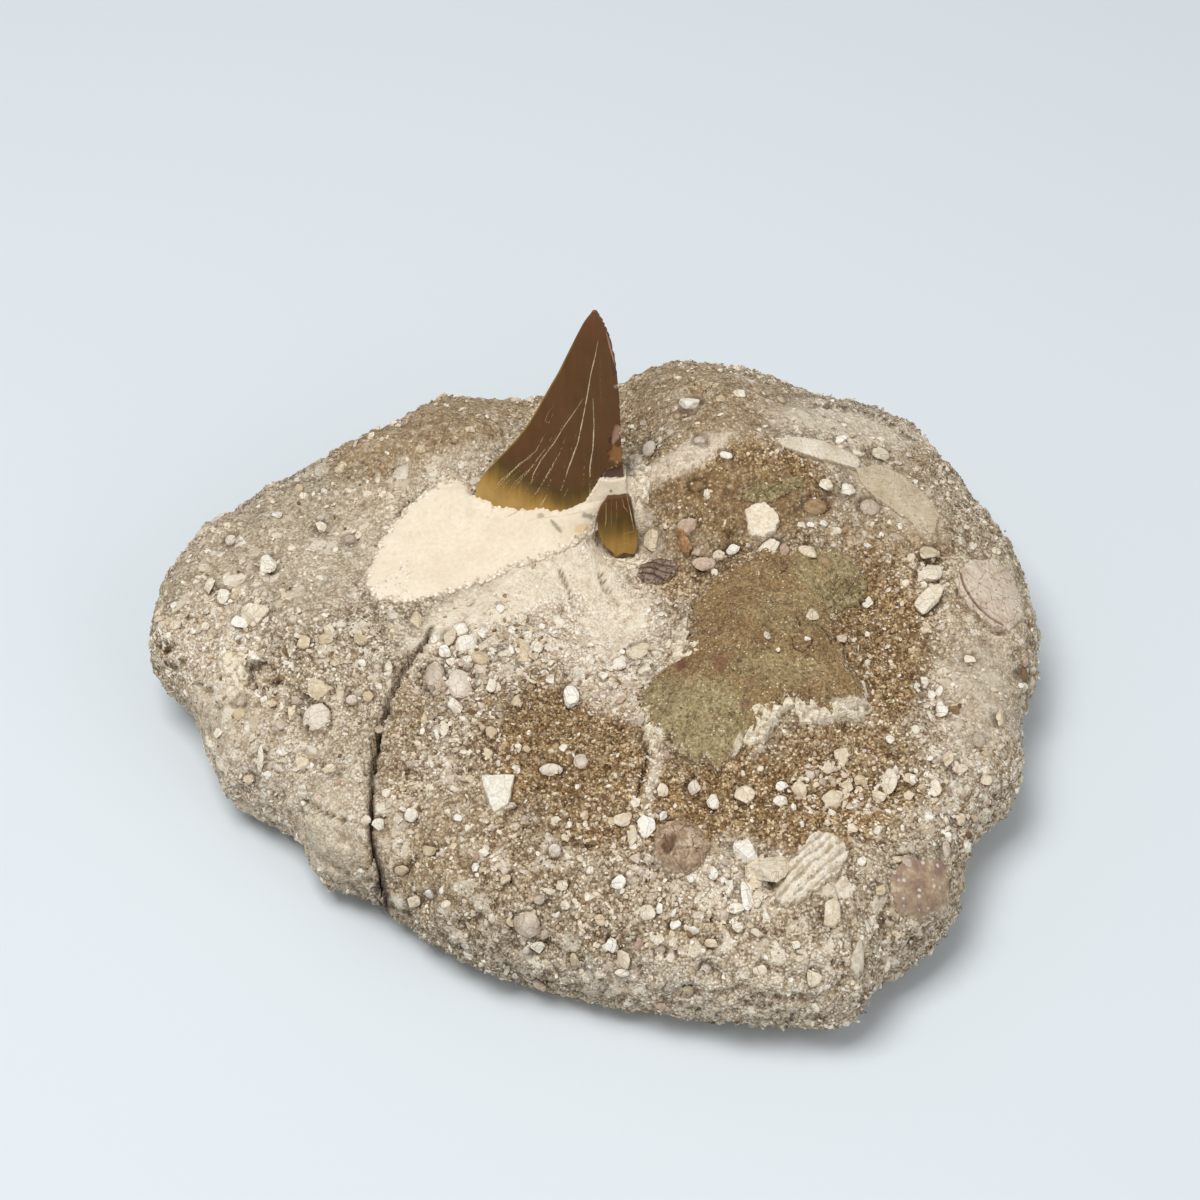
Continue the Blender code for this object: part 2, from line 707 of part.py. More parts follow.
# The outlines of the plain pieces, each from its own seat.
DISC_LINE = ((-2.5, 2.5), (0.3, 3.2), (2.4, 2.2), (3.1, 0.0), (2.2, -2.1), (0.2, -3.2), (-2.1, -2.4))
WEDGE_LINE = ((-2.8, 3.0), (-0.1, 3.2), (2.4, 2.3), (2.1, -0.9), (1.5, -2.7), (-0.9, -4.0), (-2.1, -0.9))
SMALL_TOOTH_LINE = ((-1.6, 2.4), (-0.1, 1.8), (1.4, -1.1), (0.7, -2.2), (-0.6, -0.8))
CHIP_LINE = ((-3.1, 2.0), (-0.2, 2.3), (2.5, 1.3), (3.3, 0.0), (1.8, -2.1), (-1.2, -2.9), (-3.2, -0.7))
CREAM_STRIP_LINE = (
    (-7.8, 1.9),
    (-3.7, 2.7),
    (0.7, 2.9),
    (4.4, 1.1),
    (6.8, -1.0),
    (5.0, -3.0),
    (2.0, -3.0),
    (-1.9, -1.6),
    (-5.5, 0.1),
)
TAN_STRIP_LINE = (
    (-7.6, 5.9),
    (-5.1, 5.7),
    (-0.8, 3.0),
    (3.7, 0.1),
    (6.6, -1.9),
    (6.3, -4.0),
    (4.1, -5.1),
    (0.9, -4.1),
    (-2.3, -1.4),
    (-5.8, 2.1),
)
PINK_NODULE_LINE = (
    (-6.3, 2.3),
    (-3.1, 5.8),
    (2.4, 8.0),
    (5.7, 4.9),
    (6.5, -1.1),
    (4.0, -5.9),
    (0.5, -7.8),
    (-3.7, -4.9),
    (-6.4, -1.2),
)
PURPLE_NODULE_LINE = (
    (-4.0, 3.5),
    (0.6, 4.6),
    (4.8, 4.0),
    (5.4, 0.7),
    (3.9, -2.6),
    (-0.3, -4.5),
    (-4.6, -4.6),
    (-6.0, -0.6),
)
BLADE_LINE = ((0.4, 2.9), (1.1, 1.8), (0.7, -0.8), (-0.2, -2.8), (-1.2, -1.7), (-0.8, 0.8))

# Each plain piece: name, seat, outline, how proud, how deep, colour, roughness.
PLAIN_PIECES = (
    ("pale_disc", (26.1, 21.6), DISC_LINE, 0.6, 1.2, (0.85, 0.76, 0.61), 0.85),
    ("shell_wedge", (-15.3, -28.5), WEDGE_LINE, 0.5, 1.0, (0.91, 0.87, 0.75), 0.7),
    ("small_tooth", (13.7, 21.0), SMALL_TOOTH_LINE, 0.6, 1.2, (0.156, 0.08, 0.026), 0.35),
    ("bone_chip", (9.3, 17.3), CHIP_LINE, 0.6, 1.2, (0.117, 0.072, 0.054), 0.55),
    ("cream_bone_strip", (36.7, 35.5), CREAM_STRIP_LINE, 0.4, 1.2, (0.70, 0.64, 0.52), 0.7),
    ("tan_bone_strip", (50.2, 27.9), TAN_STRIP_LINE, 0.4, 1.2, (0.54, 0.45, 0.32), 0.7),
    ("pink_nodule", (63.7, 13.0), PINK_NODULE_LINE, 0.5, 1.6, (0.58, 0.48, 0.37), 0.75),
    ("purple_nodule", (49.3, -42.8), PURPLE_NODULE_LINE, 0.6, 1.6, (0.305, 0.205, 0.18), 0.75),
    ("pale_blade", (38.4, -55.0), BLADE_LINE, 0.6, 1.0, (0.66, 0.60, 0.50), 0.6),
)


def make_plain_pieces(ground, parts, cutters):
    """The other fossils and nodules that lie in the surface, each a smooth piece with rounded edges."""
    for name, seat, outline, proud, deep, colour, roughness in PLAIN_PIECES:
        piece, pocket, frame = inlay(ground, seat, outline, proud, deep, PLAIN_SIDES)
        paint(add_object(name, piece, parts, frame), colour, roughness)
        add_helper(f"{name}_pocket", pocket, cutters, frame)


def new_collection(name):
    collection = bpy.data.collections.new(name)
    bpy.context.scene.collection.children.link(collection)
    return collection


def main():
    for item in list(bpy.data.objects):
        bpy.data.objects.remove(item)
    parts = new_collection("fossil_shark_tooth")
    cutters = new_collection("lump_cutters")
    pebbles = new_collection("lump_pebbles")
    tooth_helpers = new_collection("tooth_cutters")

    lump = shape_lump()
    ground = BVHTree.FromBMesh(lump)
    make_pebbles(ground, pebbles)
    cut_pits(ground, cutters)
    cut_crack(cutters)
    clearances = make_tooth(parts, cutters, tooth_helpers)
    make_putty(ground, parts, cutters, tooth_helpers, clearances)
    make_bone_plate(ground, parts, cutters)
    make_scale_fragment(ground, parts, cutters)
    make_ribbed_boss(ground, parts, cutters)
    make_plain_pieces(ground, parts, cutters)
    make_matrix(lump, parts, pebbles, cutters)


main()
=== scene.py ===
"""The looks of a fossil shark tooth standing in its lump of phosphate sandstone.

Shapes are worked out in millimetres in the frame of the solids, and keep() turns them into metres.
"""

import math

import bmesh
import bpy
import numpy as np
from mathutils import Matrix, Vector, noise
from mathutils.bvhtree import BVHTree
from mathutils.kdtree import KDTree


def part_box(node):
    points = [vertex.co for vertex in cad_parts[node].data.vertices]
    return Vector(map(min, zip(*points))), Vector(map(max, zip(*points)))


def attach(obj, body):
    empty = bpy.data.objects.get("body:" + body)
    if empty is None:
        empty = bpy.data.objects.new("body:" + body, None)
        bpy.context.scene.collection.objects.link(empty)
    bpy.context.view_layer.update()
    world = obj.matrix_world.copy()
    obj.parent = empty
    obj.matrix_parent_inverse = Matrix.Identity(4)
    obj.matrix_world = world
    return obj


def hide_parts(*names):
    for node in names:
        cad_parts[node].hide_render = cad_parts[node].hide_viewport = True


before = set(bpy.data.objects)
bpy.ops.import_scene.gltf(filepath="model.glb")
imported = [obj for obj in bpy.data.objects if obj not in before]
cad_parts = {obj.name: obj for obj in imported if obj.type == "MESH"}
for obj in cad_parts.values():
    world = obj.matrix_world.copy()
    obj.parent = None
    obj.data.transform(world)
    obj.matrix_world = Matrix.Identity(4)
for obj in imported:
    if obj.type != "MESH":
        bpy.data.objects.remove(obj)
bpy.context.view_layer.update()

MM = 0.001

# The camera: what it looks at, how far off it stands, how steeply it looks down, and its lens.
CAMERA_TARGET = Vector((0, 20, 15))
CAMERA_DISTANCE = 480.0
CAMERA_ELEVATION = math.radians(48)
LENS = 86.4
SENSOR = 36.0
PICTURE = 1200
FOCAL_PIXELS = LENS / SENSOR * PICTURE
PIXELS_EACH_MM = 6.0
LOOK = Vector((0, math.cos(CAMERA_ELEVATION), -math.sin(CAMERA_ELEVATION)))
LOOK_UP = Vector((0, math.sin(CAMERA_ELEVATION), math.cos(CAMERA_ELEVATION)))
CAMERA_PLACE = CAMERA_TARGET - LOOK * CAMERA_DISTANCE


def picture_ray(px, py):
    """The direction from the camera through a pixel of the picture."""
    half = PICTURE / 2
    return (LOOK * FOCAL_PIXELS + Vector((px - half, 0, 0)) + LOOK_UP * (half - py)).normalized()


def picture_place(points):
    """The pixels at which an array of points is seen."""
    away = points - np.array(CAMERA_PLACE)
    depth = away @ np.array(LOOK)
    half = PICTURE / 2
    across = half + FOCAL_PIXELS * away[..., 0] / depth
    down = half - FOCAL_PIXELS * (away @ np.array(LOOK_UP)) / depth
    return across, down


def smooth_step(low, high, value):
    """0 below low, 1 above high, with a smooth rise between. low may be the greater one."""
    share = np.clip((value - low) / (high - low), 0, 1)
    return share * share * (3 - 2 * share)


def ellipse_share(across, down, middle_x, middle_y, half_x, half_y, turn):
    """How far out places lie in a turned ellipse: 0 at its middle, 1 on its line. The turn is in degrees."""
    turn = math.radians(turn)
    x = (across - middle_x) * math.cos(turn) + (down - middle_y) * math.sin(turn)
    y = (down - middle_y) * math.cos(turn) - (across - middle_x) * math.sin(turn)
    return np.hypot(x / half_x, y / half_y)


def flat_points(x, y):
    """Points of a plane from their places in it."""
    return np.stack([x, y, 0 * x], -1)


def facing_camera(normals):
    """How much surfaces face the camera, by their normals: 0 where they are turned away."""
    return smooth_step(-0.35, -0.05, normals @ -np.array(LOOK))


def noise_at(points, size, seed=0.0, octaves=1):
    """Smooth noise of about -1 to 1 at an array of points, for swells of a size in millimetres."""
    flat = points.reshape(-1, 3) / size + seed
    if octaves == 1:
        values = [noise.noise(point) for point in flat]
    else:
        values = [noise.fractal(point, 0.9, 2.1, octaves) for point in flat]
    return np.array(values).reshape(points.shape[:-1])


# Meshes


def solid_tree(*names):
    """A search tree of the solids of some nodes, in millimetres."""
    points = []
    faces = []
    for name in names:
        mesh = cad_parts[name].data
        start = len(points)
        points += [vert.co / MM for vert in mesh.vertices]
        faces += [[start + index for index in face.vertices] for face in mesh.polygons]
    return BVHTree.FromPolygons(points, faces)


def tree_over(points, piece):
    """A search tree of the ground and of a finished piece on it, in millimetres."""
    ground = make_bm_sheet(points)
    cover = bmesh.new()
    cover.from_mesh(piece.data)
    bmesh.ops.scale(cover, vec=(1 / MM, 1 / MM, 1 / MM), verts=cover.verts)
    whole = joined([ground, cover])
    tree = BVHTree.FromBMesh(whole)
    whole.free()
    return tree


def new_piece(name, mesh, material, attributes):
    """A piece in the scene with its material and the values on its vertices."""
    for label, values in attributes.items():
        values = np.asarray(values, np.float32)
        kind = "FLOAT_VECTOR" if values.ndim == 2 else "FLOAT"
        layer = mesh.attributes.new(label, kind, "POINT")
        layer.data.foreach_set("vector" if values.ndim == 2 else "value", values.ravel())
    mesh.materials.append(material)
    piece = bpy.data.objects.new(name, mesh)
    bpy.context.scene.collection.objects.link(piece)
    return piece


def keep(name, bm, material, replaced, attributes):
    """Turn a mesh in millimetres into a finished piece that rides on the lump's body."""
    bmesh.ops.scale(bm, vec=(MM, MM, MM), verts=bm.verts)
    mesh = bpy.data.meshes.new(name)
    bm.to_mesh(mesh)
    bm.free()
    mesh.shade_smooth()
    piece = new_piece(name, mesh, material, attributes)
    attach(piece, "root")
    if replaced:
        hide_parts(replaced)
    return piece


# The lump's ground: a square sheet wrapped over the lump, each point on a ray from a flat core

SHEET = 308
# Shares of the way from the sheet's middle to its edge: where the rays start to turn outwards, and where they
# have turned down.
TURN_START = 0.66
TURN_END = 0.93
CORE_SHARE = 0.80
CORE_HEIGHT = 11.0
FLAT_SHARE = 0.5
RAY_START = 80.0
# How near the tooth its socket in the ground reaches.
NEAR_TOOTH = 1.3
# Sheet steps over which gaps between inlaid points are closed, and rounds in which holes are filled in.
GAPS_CLOSED = 5
FILL_ROUNDS = 500
# How far the ground is sunk under what is inlaid.
SINK = 0.9
# Pixels each way from which a seen stone is large enough for a gap round it, multiplied.
SOCKET_AREA = 80

# The crack down the front left: x, y and width, from its fine end to the edge.
CRACK = (
    (-27.0, 4.2, 0.3), (-27.9, 1.2, 0.5), (-29.0, -0.8, 0.8), (-31.2, -5.0, 0.8), (-32.6, -8.0, 1.1),
    (-33.4, -10.5, 1.0), (-34.4, -14.5, 1.3), (-34.9, -18.0, 1.7), (-35.2, -22.5, 1.4), (-35.2, -26.0, 1.1),
    (-35.3, -30.0, 0.9), (-35.1, -32.5, 1.0), (-34.2, -35.0, 1.1), (-33.4, -37.0, 1.2), (-32.4, -40.0, 1.4),
    (-31.5, -44.0, 1.8),
)
# Fine creases as they are seen, each a row of pixels.
CREASES = (
    ((272, 681), (295, 686), (311, 701), (329, 708), (327, 726)),
    ((245, 662), (252, 676), (262, 688), (276, 692)), ((395, 520), (412, 507), (440, 497), (478, 492)),
    ((812, 404), (850, 408), (886, 420), (915, 441)), ((640, 738), (648, 752), (643, 772), (638, 794)),
    ((868, 985), (862, 1004), (858, 1024)), ((905, 838), (893, 866), (890, 900), (880, 930)),
    ((736, 868), (730, 880), (727, 898)), ((600, 572), (607, 590), (620, 604)),
    ((560, 570), (568, 588), (574, 606)), ((300, 800), (322, 812), (350, 822)),
    ((958, 590), (962, 604), (979, 618), (1003, 635)),
    ((418, 679), (420, 668), (427, 662), (435, 662), (442, 666), (446, 674)),
    ((448, 681), (451, 671), (460, 667), (470, 670), (476, 678)),
    ((301, 716), (305, 706), (314, 702), (325, 704), (331, 713)), ((395, 520), (405, 506), (415, 500)),
    ((654, 850), (658, 838), (668, 829), (682, 827)),
)
# Pits and scoops as they are seen: pixel, half-width, half-height, turn, and depth in millimetres.
PITS = (
    (262, 676, 17, 15, 20, 1.8), (253, 669, 8, 7, 0, 2.6), (188, 616, 4, 3.5, 0, 1.5),
    (206, 622, 3.5, 3, 0, 1.3), (183, 625, 3, 3, 0, 1.3), (207, 692, 5, 4, 30, 1.5),
    (197, 685, 4, 3, 0, 1.3), (161, 653, 4, 4, 0, 1.3), (216, 708, 4, 3, 0, 1.2), (236, 640, 3, 3, 0, 1.0),
    (493, 908, 3.5, 3, 0, 1.4), (706, 970, 6, 4, 0, 1.2), (588, 846, 4, 3, 0, 1.0),
    (645, 880, 3, 3, 0, 1.0), (300, 860, 9, 5, 20, 1.2), (395, 560, 5, 3, 40, 1.0),
)
# The wedge that cuts the crack: its top and bottom, and how much wider it is at its top.
CRACK_TOP = 40.0
CRACK_BOTTOM = 3.0
CRACK_OPENING = 2.0


def sheet_rays(lump):
    """Where each point's ray starts on the core, and its direction, as arrays over the sheet."""
    steps = np.linspace(-1, 1, SHEET + 1)
    x, y = np.meshgrid(steps, steps)
    wide = np.abs(x) >= np.abs(y)
    ring = np.maximum(np.abs(x), np.abs(y))
    safe_x = np.where(x == 0, 1, x)
    safe_y = np.where(y == 0, 1, y)
    bearing = np.where(
        wide,
        math.pi / 4 * y / safe_x + np.where(x < 0, math.pi, 0),
        math.pi / 2 - math.pi / 4 * x / safe_y + np.where(y < 0, math.pi, 0),
    )
    reach, height = belt_of(lump, bearing)
    turned = np.clip((ring - TURN_START) / (TURN_END - TURN_START), 0, 1)
    under = np.clip((ring - TURN_END) / (1 - TURN_END), 0, 1)
    inner = np.minimum(ring / TURN_START, 1)
    share = CORE_SHARE * inner + (FLAT_SHARE - CORE_SHARE) * under
    level = CORE_HEIGHT + (height - CORE_HEIGHT) * smooth_step(0.4, 1, inner)
    start = np.stack([reach * share * np.cos(bearing), reach * share * np.sin(bearing), level], -1)
    lift = math.pi / 2 - math.pi * turned
    direction = np.stack(
        [np.cos(lift) * np.cos(bearing), np.cos(lift) * np.sin(bearing), np.sin(lift)], -1
    )
    return start, direction, ring


def belt_of(lump, bearing):
    """The reach and the height of the lump's widest belt at an array of bearings."""
    count = 360
    rows = []
    for degree in range(count):
        turn = math.radians(degree)
        outward = Vector((math.cos(turn), math.sin(turn), 0))
        best = (0, CORE_HEIGHT)
        for level in range(4, 26, 2):
            hit = lump.ray_cast(outward * RAY_START + Vector((0, 0, level)), -outward)[0]
            if hit and hit.xy.length > best[0]:
                best = (hit.xy.length, level)
        rows.append(best)
    rows = np.array(rows, float)
    spread = 5
    rows = sum(np.roll(rows, shift, 0) for shift in range(-spread, spread + 1)) / (2 * spread + 1)
    place = np.degrees(bearing) % count
    low = np.floor(place).astype(int) % count
    share = (place - np.floor(place))[..., None]
    found = rows[low] * (1 - share) + rows[(low + 1) % count] * share
    return found[..., 0], found[..., 1]


def ray_lengths(tree, start, direction):
    """How far from the core each ray meets a solid coming from outside, or 0 where it misses."""
    lengths = np.zeros(start.shape[:2])
    far = start + direction * RAY_START
    for place in np.ndindex(lengths.shape):
        distance = tree.ray_cast(Vector(far[place]), Vector(-direction[place]))[3]
        if distance is not None:
            lengths[place] = RAY_START - distance
    return lengths


def shifted(field, rows, columns):
    """A field moved by some rows and columns, with its edge repeated."""
    padded = np.pad(field, [(abs(rows), abs(rows)), (abs(columns), abs(columns))], mode="edge")
    height, width = field.shape
    return padded[
        abs(rows) + rows : abs(rows) + rows + height, abs(columns) + columns : abs(columns) + columns + width
    ]


def spread_field(field, reach, pick):
    """The greatest or least value within a reach of sheet steps."""
    for _ in range(reach):
        field = pick.reduce([field, shifted(field, 1, 0), shifted(field, -1, 0)])
        field = pick.reduce([field, shifted(field, 0, 1), shifted(field, 0, -1)])
    return field


def blurred(field, sigma):
    """A field smoothed over a number of sheet steps."""
    reach = int(3 * sigma)
    weights = np.exp(-0.5 * (np.arange(-reach, reach + 1) / sigma) ** 2)
    weights /= weights.sum()
    field = sum(w * shifted(field, shift - reach, 0) for shift, w in enumerate(weights))
    return sum(w * shifted(field, 0, shift - reach) for shift, w in enumerate(weights))


def filled(field, hole):
    """A field whose holes are filled in from their edges."""
    field = np.where(hole, field[~hole].mean(), field)
    rows, columns = np.nonzero(hole)
    top, bottom = max(rows.min() - 1, 0), rows.max() + 2
    left, right = max(columns.min() - 1, 0), columns.max() + 2
    part = field[top:bottom, left:right]
    mask = hole[top:bottom, left:right]
    for _ in range(FILL_ROUNDS):
        mean = (shifted(part, 1, 0) + shifted(part, -1, 0) + shifted(part, 0, 1) + shifted(part, 0, -1)) / 4
        part = np.where(mask, mean, part)
    field[top:bottom, left:right] = part
    return field


def sheet_normals(points):
    """The outward normal at each point of the sheet."""
    along = np.gradient(points, axis=1)
    across = np.gradient(points, axis=0)
    normal = np.cross(along, across)
    return normal / np.maximum(np.linalg.norm(normal, axis=-1, keepdims=True), 1e-9)


def distance_to_path(points, path):
    """For each point, in plan: its distance to a path, and how far along it the nearest place is, in steps."""
    best = np.full(points.shape[:-1], np.inf)
    place = np.zeros(points.shape[:-1])
    for index in range(len(path) - 1):
        start = np.array(path[index][:2])
        step = np.array(path[index + 1][:2]) - start
        away = points[..., :2] - start
        share = np.clip(away @ step / (step @ step), 0, 1)
        offset = away - share[..., None] * step
        distance = np.hypot(offset[..., 0], offset[..., 1])
        nearer = distance < best
        best = np.where(nearer, distance, best)
        place = np.where(nearer, index + share, place)
    return best, place


def make_ground():
    """The lump's smooth ground over the sheet, with the tooth's socket, the crack and all pockets closed.

    Returns arrays over the sheet: its points, the ring each lies on, where it is inlaid and what was filled.
    """
    lump = solid_tree("matrix")
    start, direction, ring = sheet_rays(lump)
    bare = ray_lengths(lump, start, direction)
    dressed = ray_lengths(solid_tree(*SEATS), start, direction)
    inlaid = (dressed > bare).astype(float)
    inlaid = spread_field(spread_field(inlaid, GAPS_CLOSED, np.maximum), GAPS_CLOSED, np.minimum) > 0.5
    length = np.maximum(bare, dressed)
    points = start + direction * length[..., None]

    tooth = solid_tree("tooth_crown", "crown_heel")
    hole = np.zeros(length.shape, bool)
    low, high = (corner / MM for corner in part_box("tooth_crown"))
    near = (points[..., 0] > low.x - 3) & (points[..., 0] < high.x + 6)
    near &= (points[..., 1] > low.y - 5) & (points[..., 1] < high.y + 5) & (direction[..., 2] > 0.5)
    for place in zip(*np.nonzero(near)):
        distance = tooth.find_nearest(Vector(points[place]))[3]
        hole[place] = distance < NEAR_TOOTH
    crack_distance = distance_to_path(points, CRACK)[0]
    hole |= (crack_distance < 1.8) & (direction[..., 2] > -0.5)
    length = filled(length, hole)
    length = spread_field(spread_field(length, 2, np.maximum), 2, np.minimum)
    length = blurred(length, 3.0)
    points = start + direction * length[..., None]
    points = clear_heel(points)
    points[ring > 0.999, 2] = 0
    return points, ring, inlaid, hole


def clear_heel(points):
    """The ground drawn back, away from the camera, where it would stand in front of the heel."""
    across, down = picture_place(points)
    outline = np.array(HEEL_LINE, float)
    middle = outline.mean(0)
    bearing = np.arctan2(down - middle[1], across - middle[0])
    away = np.hypot(down - middle[1], across - middle[0])
    reach = outline_reach(outline - middle, bearing)
    offset = points - np.array(TOOTH_FOOT)
    behind = -(offset @ np.array(FACE_OUT)) + HEEL_STEP
    ray = points - np.array(CAMERA_PLACE)
    ray /= np.linalg.norm(ray, axis=-1, keepdims=True)
    slope = -(ray @ np.array(FACE_OUT))
    push = (HEEL_GAP - behind) / slope
    push = np.where((behind < HEEL_GAP) & (behind > -HEEL_DEPTH) & (away < reach + 0.5), push, 0)
    push = np.maximum(push, blurred(spread_field(push, 2, np.maximum), 2.0))
    return points + ray * push[..., None]


def make_bm_sheet(points):
    """A mesh of the sheet with the given points, open underneath."""
    bm = bmesh.new()
    bmesh.ops.create_grid(bm, x_segments=SHEET, y_segments=SHEET, size=1)
    for vert in bm.verts:
        row, column = (round((place + 1) / 2 * SHEET) for place in (vert.co.y, vert.co.x))
        vert.co = points[row, column]
    return bm


def close_underneath(bm):
    """Fill the open flat spot of the sheet's mesh."""
    edges = [edge for edge in bm.edges if edge.is_boundary]
    bmesh.ops.holes_fill(bm, edges=edges, sides=0)


def cell_relief(points, size, seed):
    """Relief like packed grains: 0 in the gaps and 1 on the middles, at an array of points."""
    flat = points.reshape(-1, 3) / size + seed
    values = []
    for point in flat:
        near, next_near = noise.voronoi(point)[0][:2]
        values.append(min(1.0, 1.6 * (next_near - near)))
    return np.array(values).reshape(points.shape[:-1])


def roughen(points, ring, inlaid):
    """The ground with the lump's knobs, its pits and its grains, sunk under the inlaid pieces."""
    normal = sheet_normals(points)
    steep = smooth_step(0.85, 0.3, normal[..., 2])
    seen = smooth_step(-0.1, 0.15, normal @ -np.array(LOOK))
    smear = region_weight(points, seen, "smear")
    knobs = 0.6 * noise_at(points, 7.0, 3.1) + 0.5 * steep * noise_at(points, 4.0, 8.7)
    broken = np.abs(noise_at(points, 3.4, 5.3, 3))
    crumbs = noise_at(points, 1.9, 11.0, 3)
    pits = smooth_step(0.45, 0.75, noise_at(points, 2.3, 31.0, 2))
    grit = np.random.default_rng(7).uniform(-1, 1, points.shape[:2])
    height = (0.9 + 0.6 * steep) * (0.3 - broken) + 0.45 * crumbs - 0.9 * pits + 0.1 * grit
    fine = region_weight(points, seen, "fine")
    height = knobs + height * (1 - 0.7 * smear) * (1 - 0.4 * fine)
    height -= 0.9 * creases_at(points, 0.45) + seen * (spots_at(points, PITS) + 0.4 * sockets_at(points))
    # How far each point lies below its smoothed surroundings: painted shade where below, painted highlight where
    # above.
    shaded_hollow = np.clip((blurred(height, 2.0) - height) / 0.55, -1, 1)
    covered = blurred(inlaid.astype(float), 1.2)
    height = height * (1 - covered) - 0.35 * (1 - covered) - SINK * smooth_step(0.45, 0.95, covered)
    height *= smooth_step(1.0, 0.95, ring)
    points = points + normal * height[..., None]
    points[..., 2] = np.maximum(points[..., 2], 0)
    return points, shaded_hollow


def sockets_at(points):
    """How much each point lies in the gap round one of the larger stones."""
    across, down = picture_place(points)
    inside = np.zeros(across.shape)
    for stones in STONES.values():
        for middle_x, middle_y, wide, high, turn in stones:
            if wide * high > SOCKET_AREA:
                away = ellipse_share(across, down, middle_x, middle_y, wide / 2 + 3, high / 2 + 3, turn)
                inside = np.maximum(inside, smooth_step(1.2, 0.85, away))
    return inside


def creases_at(points, width, creases=CREASES):
    """How much each point lies in one of some fine creases."""
    across, down = picture_place(points)
    places = np.stack([across, down], -1) / PIXELS_EACH_MM
    inside = np.zeros(across.shape)
    for crease in creases:
        distance = distance_to_path(places, np.array(crease) / PIXELS_EACH_MM)[0]
        inside = np.maximum(inside, smooth_step(width, 0.3 * width, distance))
    return inside


# The tooth: its broad face stands on TOOTH_FOOT, where the putty closes round it, and leans back. Places on it
# are given across its face and up it.

TOOTH_FOOT = Vector((-7.5, 27.5, 30.0))
TOOTH_LEAN = math.radians(20)
FACE_UP = Vector((0, math.sin(TOOTH_LEAN), math.cos(TOOTH_LEAN)))
FACE_OUT = Vector((0, -math.cos(TOOTH_LEAN), math.sin(TOOTH_LEAN)))
# The crown before it broke, from its buried foot to its tip: height, left edge, right edge.
CROWN_EDGES = (
    (-11.0, -12.6, 13.2), (-7.0, -13.4, 13.7), (-3.0, -13.4, 13.3), (1.7, -13.0, 12.1), (3.5, -12.7, 11.7),
    (5.3, -11.8, 11.4), (7.2, -10.3, 11.2), (9.4, -8.3, 11.0), (11.8, -6.2, 10.9), (14.6, -4.2, 10.8),
    (17.6, -2.5, 10.7), (20.7, -0.9, 10.5), (23.8, 0.8, 10.2), (27.0, 2.3, 9.8), (30.0, 3.7, 9.1),
    (32.4, 4.9, 8.2), (33.6, 5.7, 7.6), (34.3, 6.45, 6.85),
)
CROWN_FOOT = -7.0
CROWN_TIP = 34.35
THICKNESS_SCALE = 1.1
THICKNESS_POWER = 0.8
FRONT_SHARE = 0.2
BACK_SHARE = 0.8
# How blunt the cutting edges are.
BLUNT = 0.16
# Columns across the front, over an edge and across the back, and rows up the crown.
FRONT_COLUMNS = 190
EDGE_COLUMNS = 8
BACK_COLUMNS = 90
CROWN_ROWS = 270
# Where the broken right side of the crown ends: height and place across.
BREAK_END = (
    (-14, 5.9), (1.5, 5.9), (2.2, 7.2), (2.6, 7.5), (4.2, 7.4), (4.7, 8.8), (4.9, 9.2), (5.0, 12.0),
)
# Bites out of the right edge: height, half-height, depth.
NICKS = (
    (33.4, 0.35, 0.25), (32.5, 0.3, 0.3), (31.8, 0.35, 0.35), (30.9, 0.3, 0.2), (29.9, 0.25, 0.15),
    (27.6, 0.7, 0.12), (21.4, 0.35, 0.4), (17.9, 0.4, 0.15), (13.0, 0.9, 0.35),
)
# The ragged line along which the putty closes on the crown: place across and height.
FOOT_LINE = (
    (-13.0, 1.6), (-11.4, 1.3), (-9.8, 0.3), (-7.5, 0.1), (-4.0, -0.1), (-2.0, 0.3), (-0.4, -0.1),
    (1.2, -0.2), (3.1, 0.5), (4.7, 1.2), (5.9, 1.8), (7.2, 2.2),
)
# The cracks in the enamel as they are seen: their pixels, then how wide each is in millimetres and how pale.
ENAMEL_CRACKS = (
    (
        ((598, 341), (595, 357), (591, 373), (587, 397), (583, 418), (578, 442), (570, 464), (561, 490)),
        0.17, 1.0,
    ),
    (((593, 399), (594, 425), (593, 447), (590, 467), (590, 495)), 0.17, 1.0),
    (((583, 399), (573, 414), (565, 425), (554, 443), (541, 460), (533, 475), (531, 486)), 0.14, 0.8),
    (((561, 451), (552, 466), (542, 484), (537, 492), (530, 499)), 0.13, 0.7),
    (((552, 437), (543, 452), (536, 461), (527, 473), (515, 485)), 0.11, 0.6),
    (((545, 434), (536, 451), (524, 461), (511, 472), (500, 481), (494, 490)), 0.12, 0.6),
    (((532, 457), (520, 463), (507, 477), (497, 488)), 0.12, 0.7),
    (((536, 464), (526, 472), (515, 482), (507, 495)), 0.11, 0.5),
    (((529, 470), (519, 482), (512, 490)), 0.1, 0.4),
    (((566, 436), (560, 452), (551, 470), (545, 480)), 0.09, 0.35),
    (((603, 477), (609, 469), (616, 466), (624, 465)), 0.16, 1.0),
    (((624, 448), (625, 462), (626, 479)), 0.2, 1.0), (((598, 470), (597, 482), (598, 490)), 0.1, 0.5),
    (((568, 489), (564, 497)), 0.12, 0.7),
    (((554, 405), (548, 413), (545, 421), (549, 423), (553, 414)), 0.08, 0.35),
    (((547, 495), (544, 500), (541, 505)), 0.3, 0.6), (((541, 470), (530, 483), (524, 494)), 0.07, 0.35),
    (((556, 468), (550, 482), (545, 493)), 0.07, 0.35), (((576, 434), (570, 452), (562, 472)), 0.06, 0.3),
    (((520, 470), (507, 482), (500, 492)), 0.07, 0.4), (((586, 452), (584, 470), (583, 488)), 0.06, 0.3),
    (((570, 412), (560, 430), (548, 448)), 0.06, 0.3), (((601, 360), (600, 385), (602, 410)), 0.05, 0.2),
)
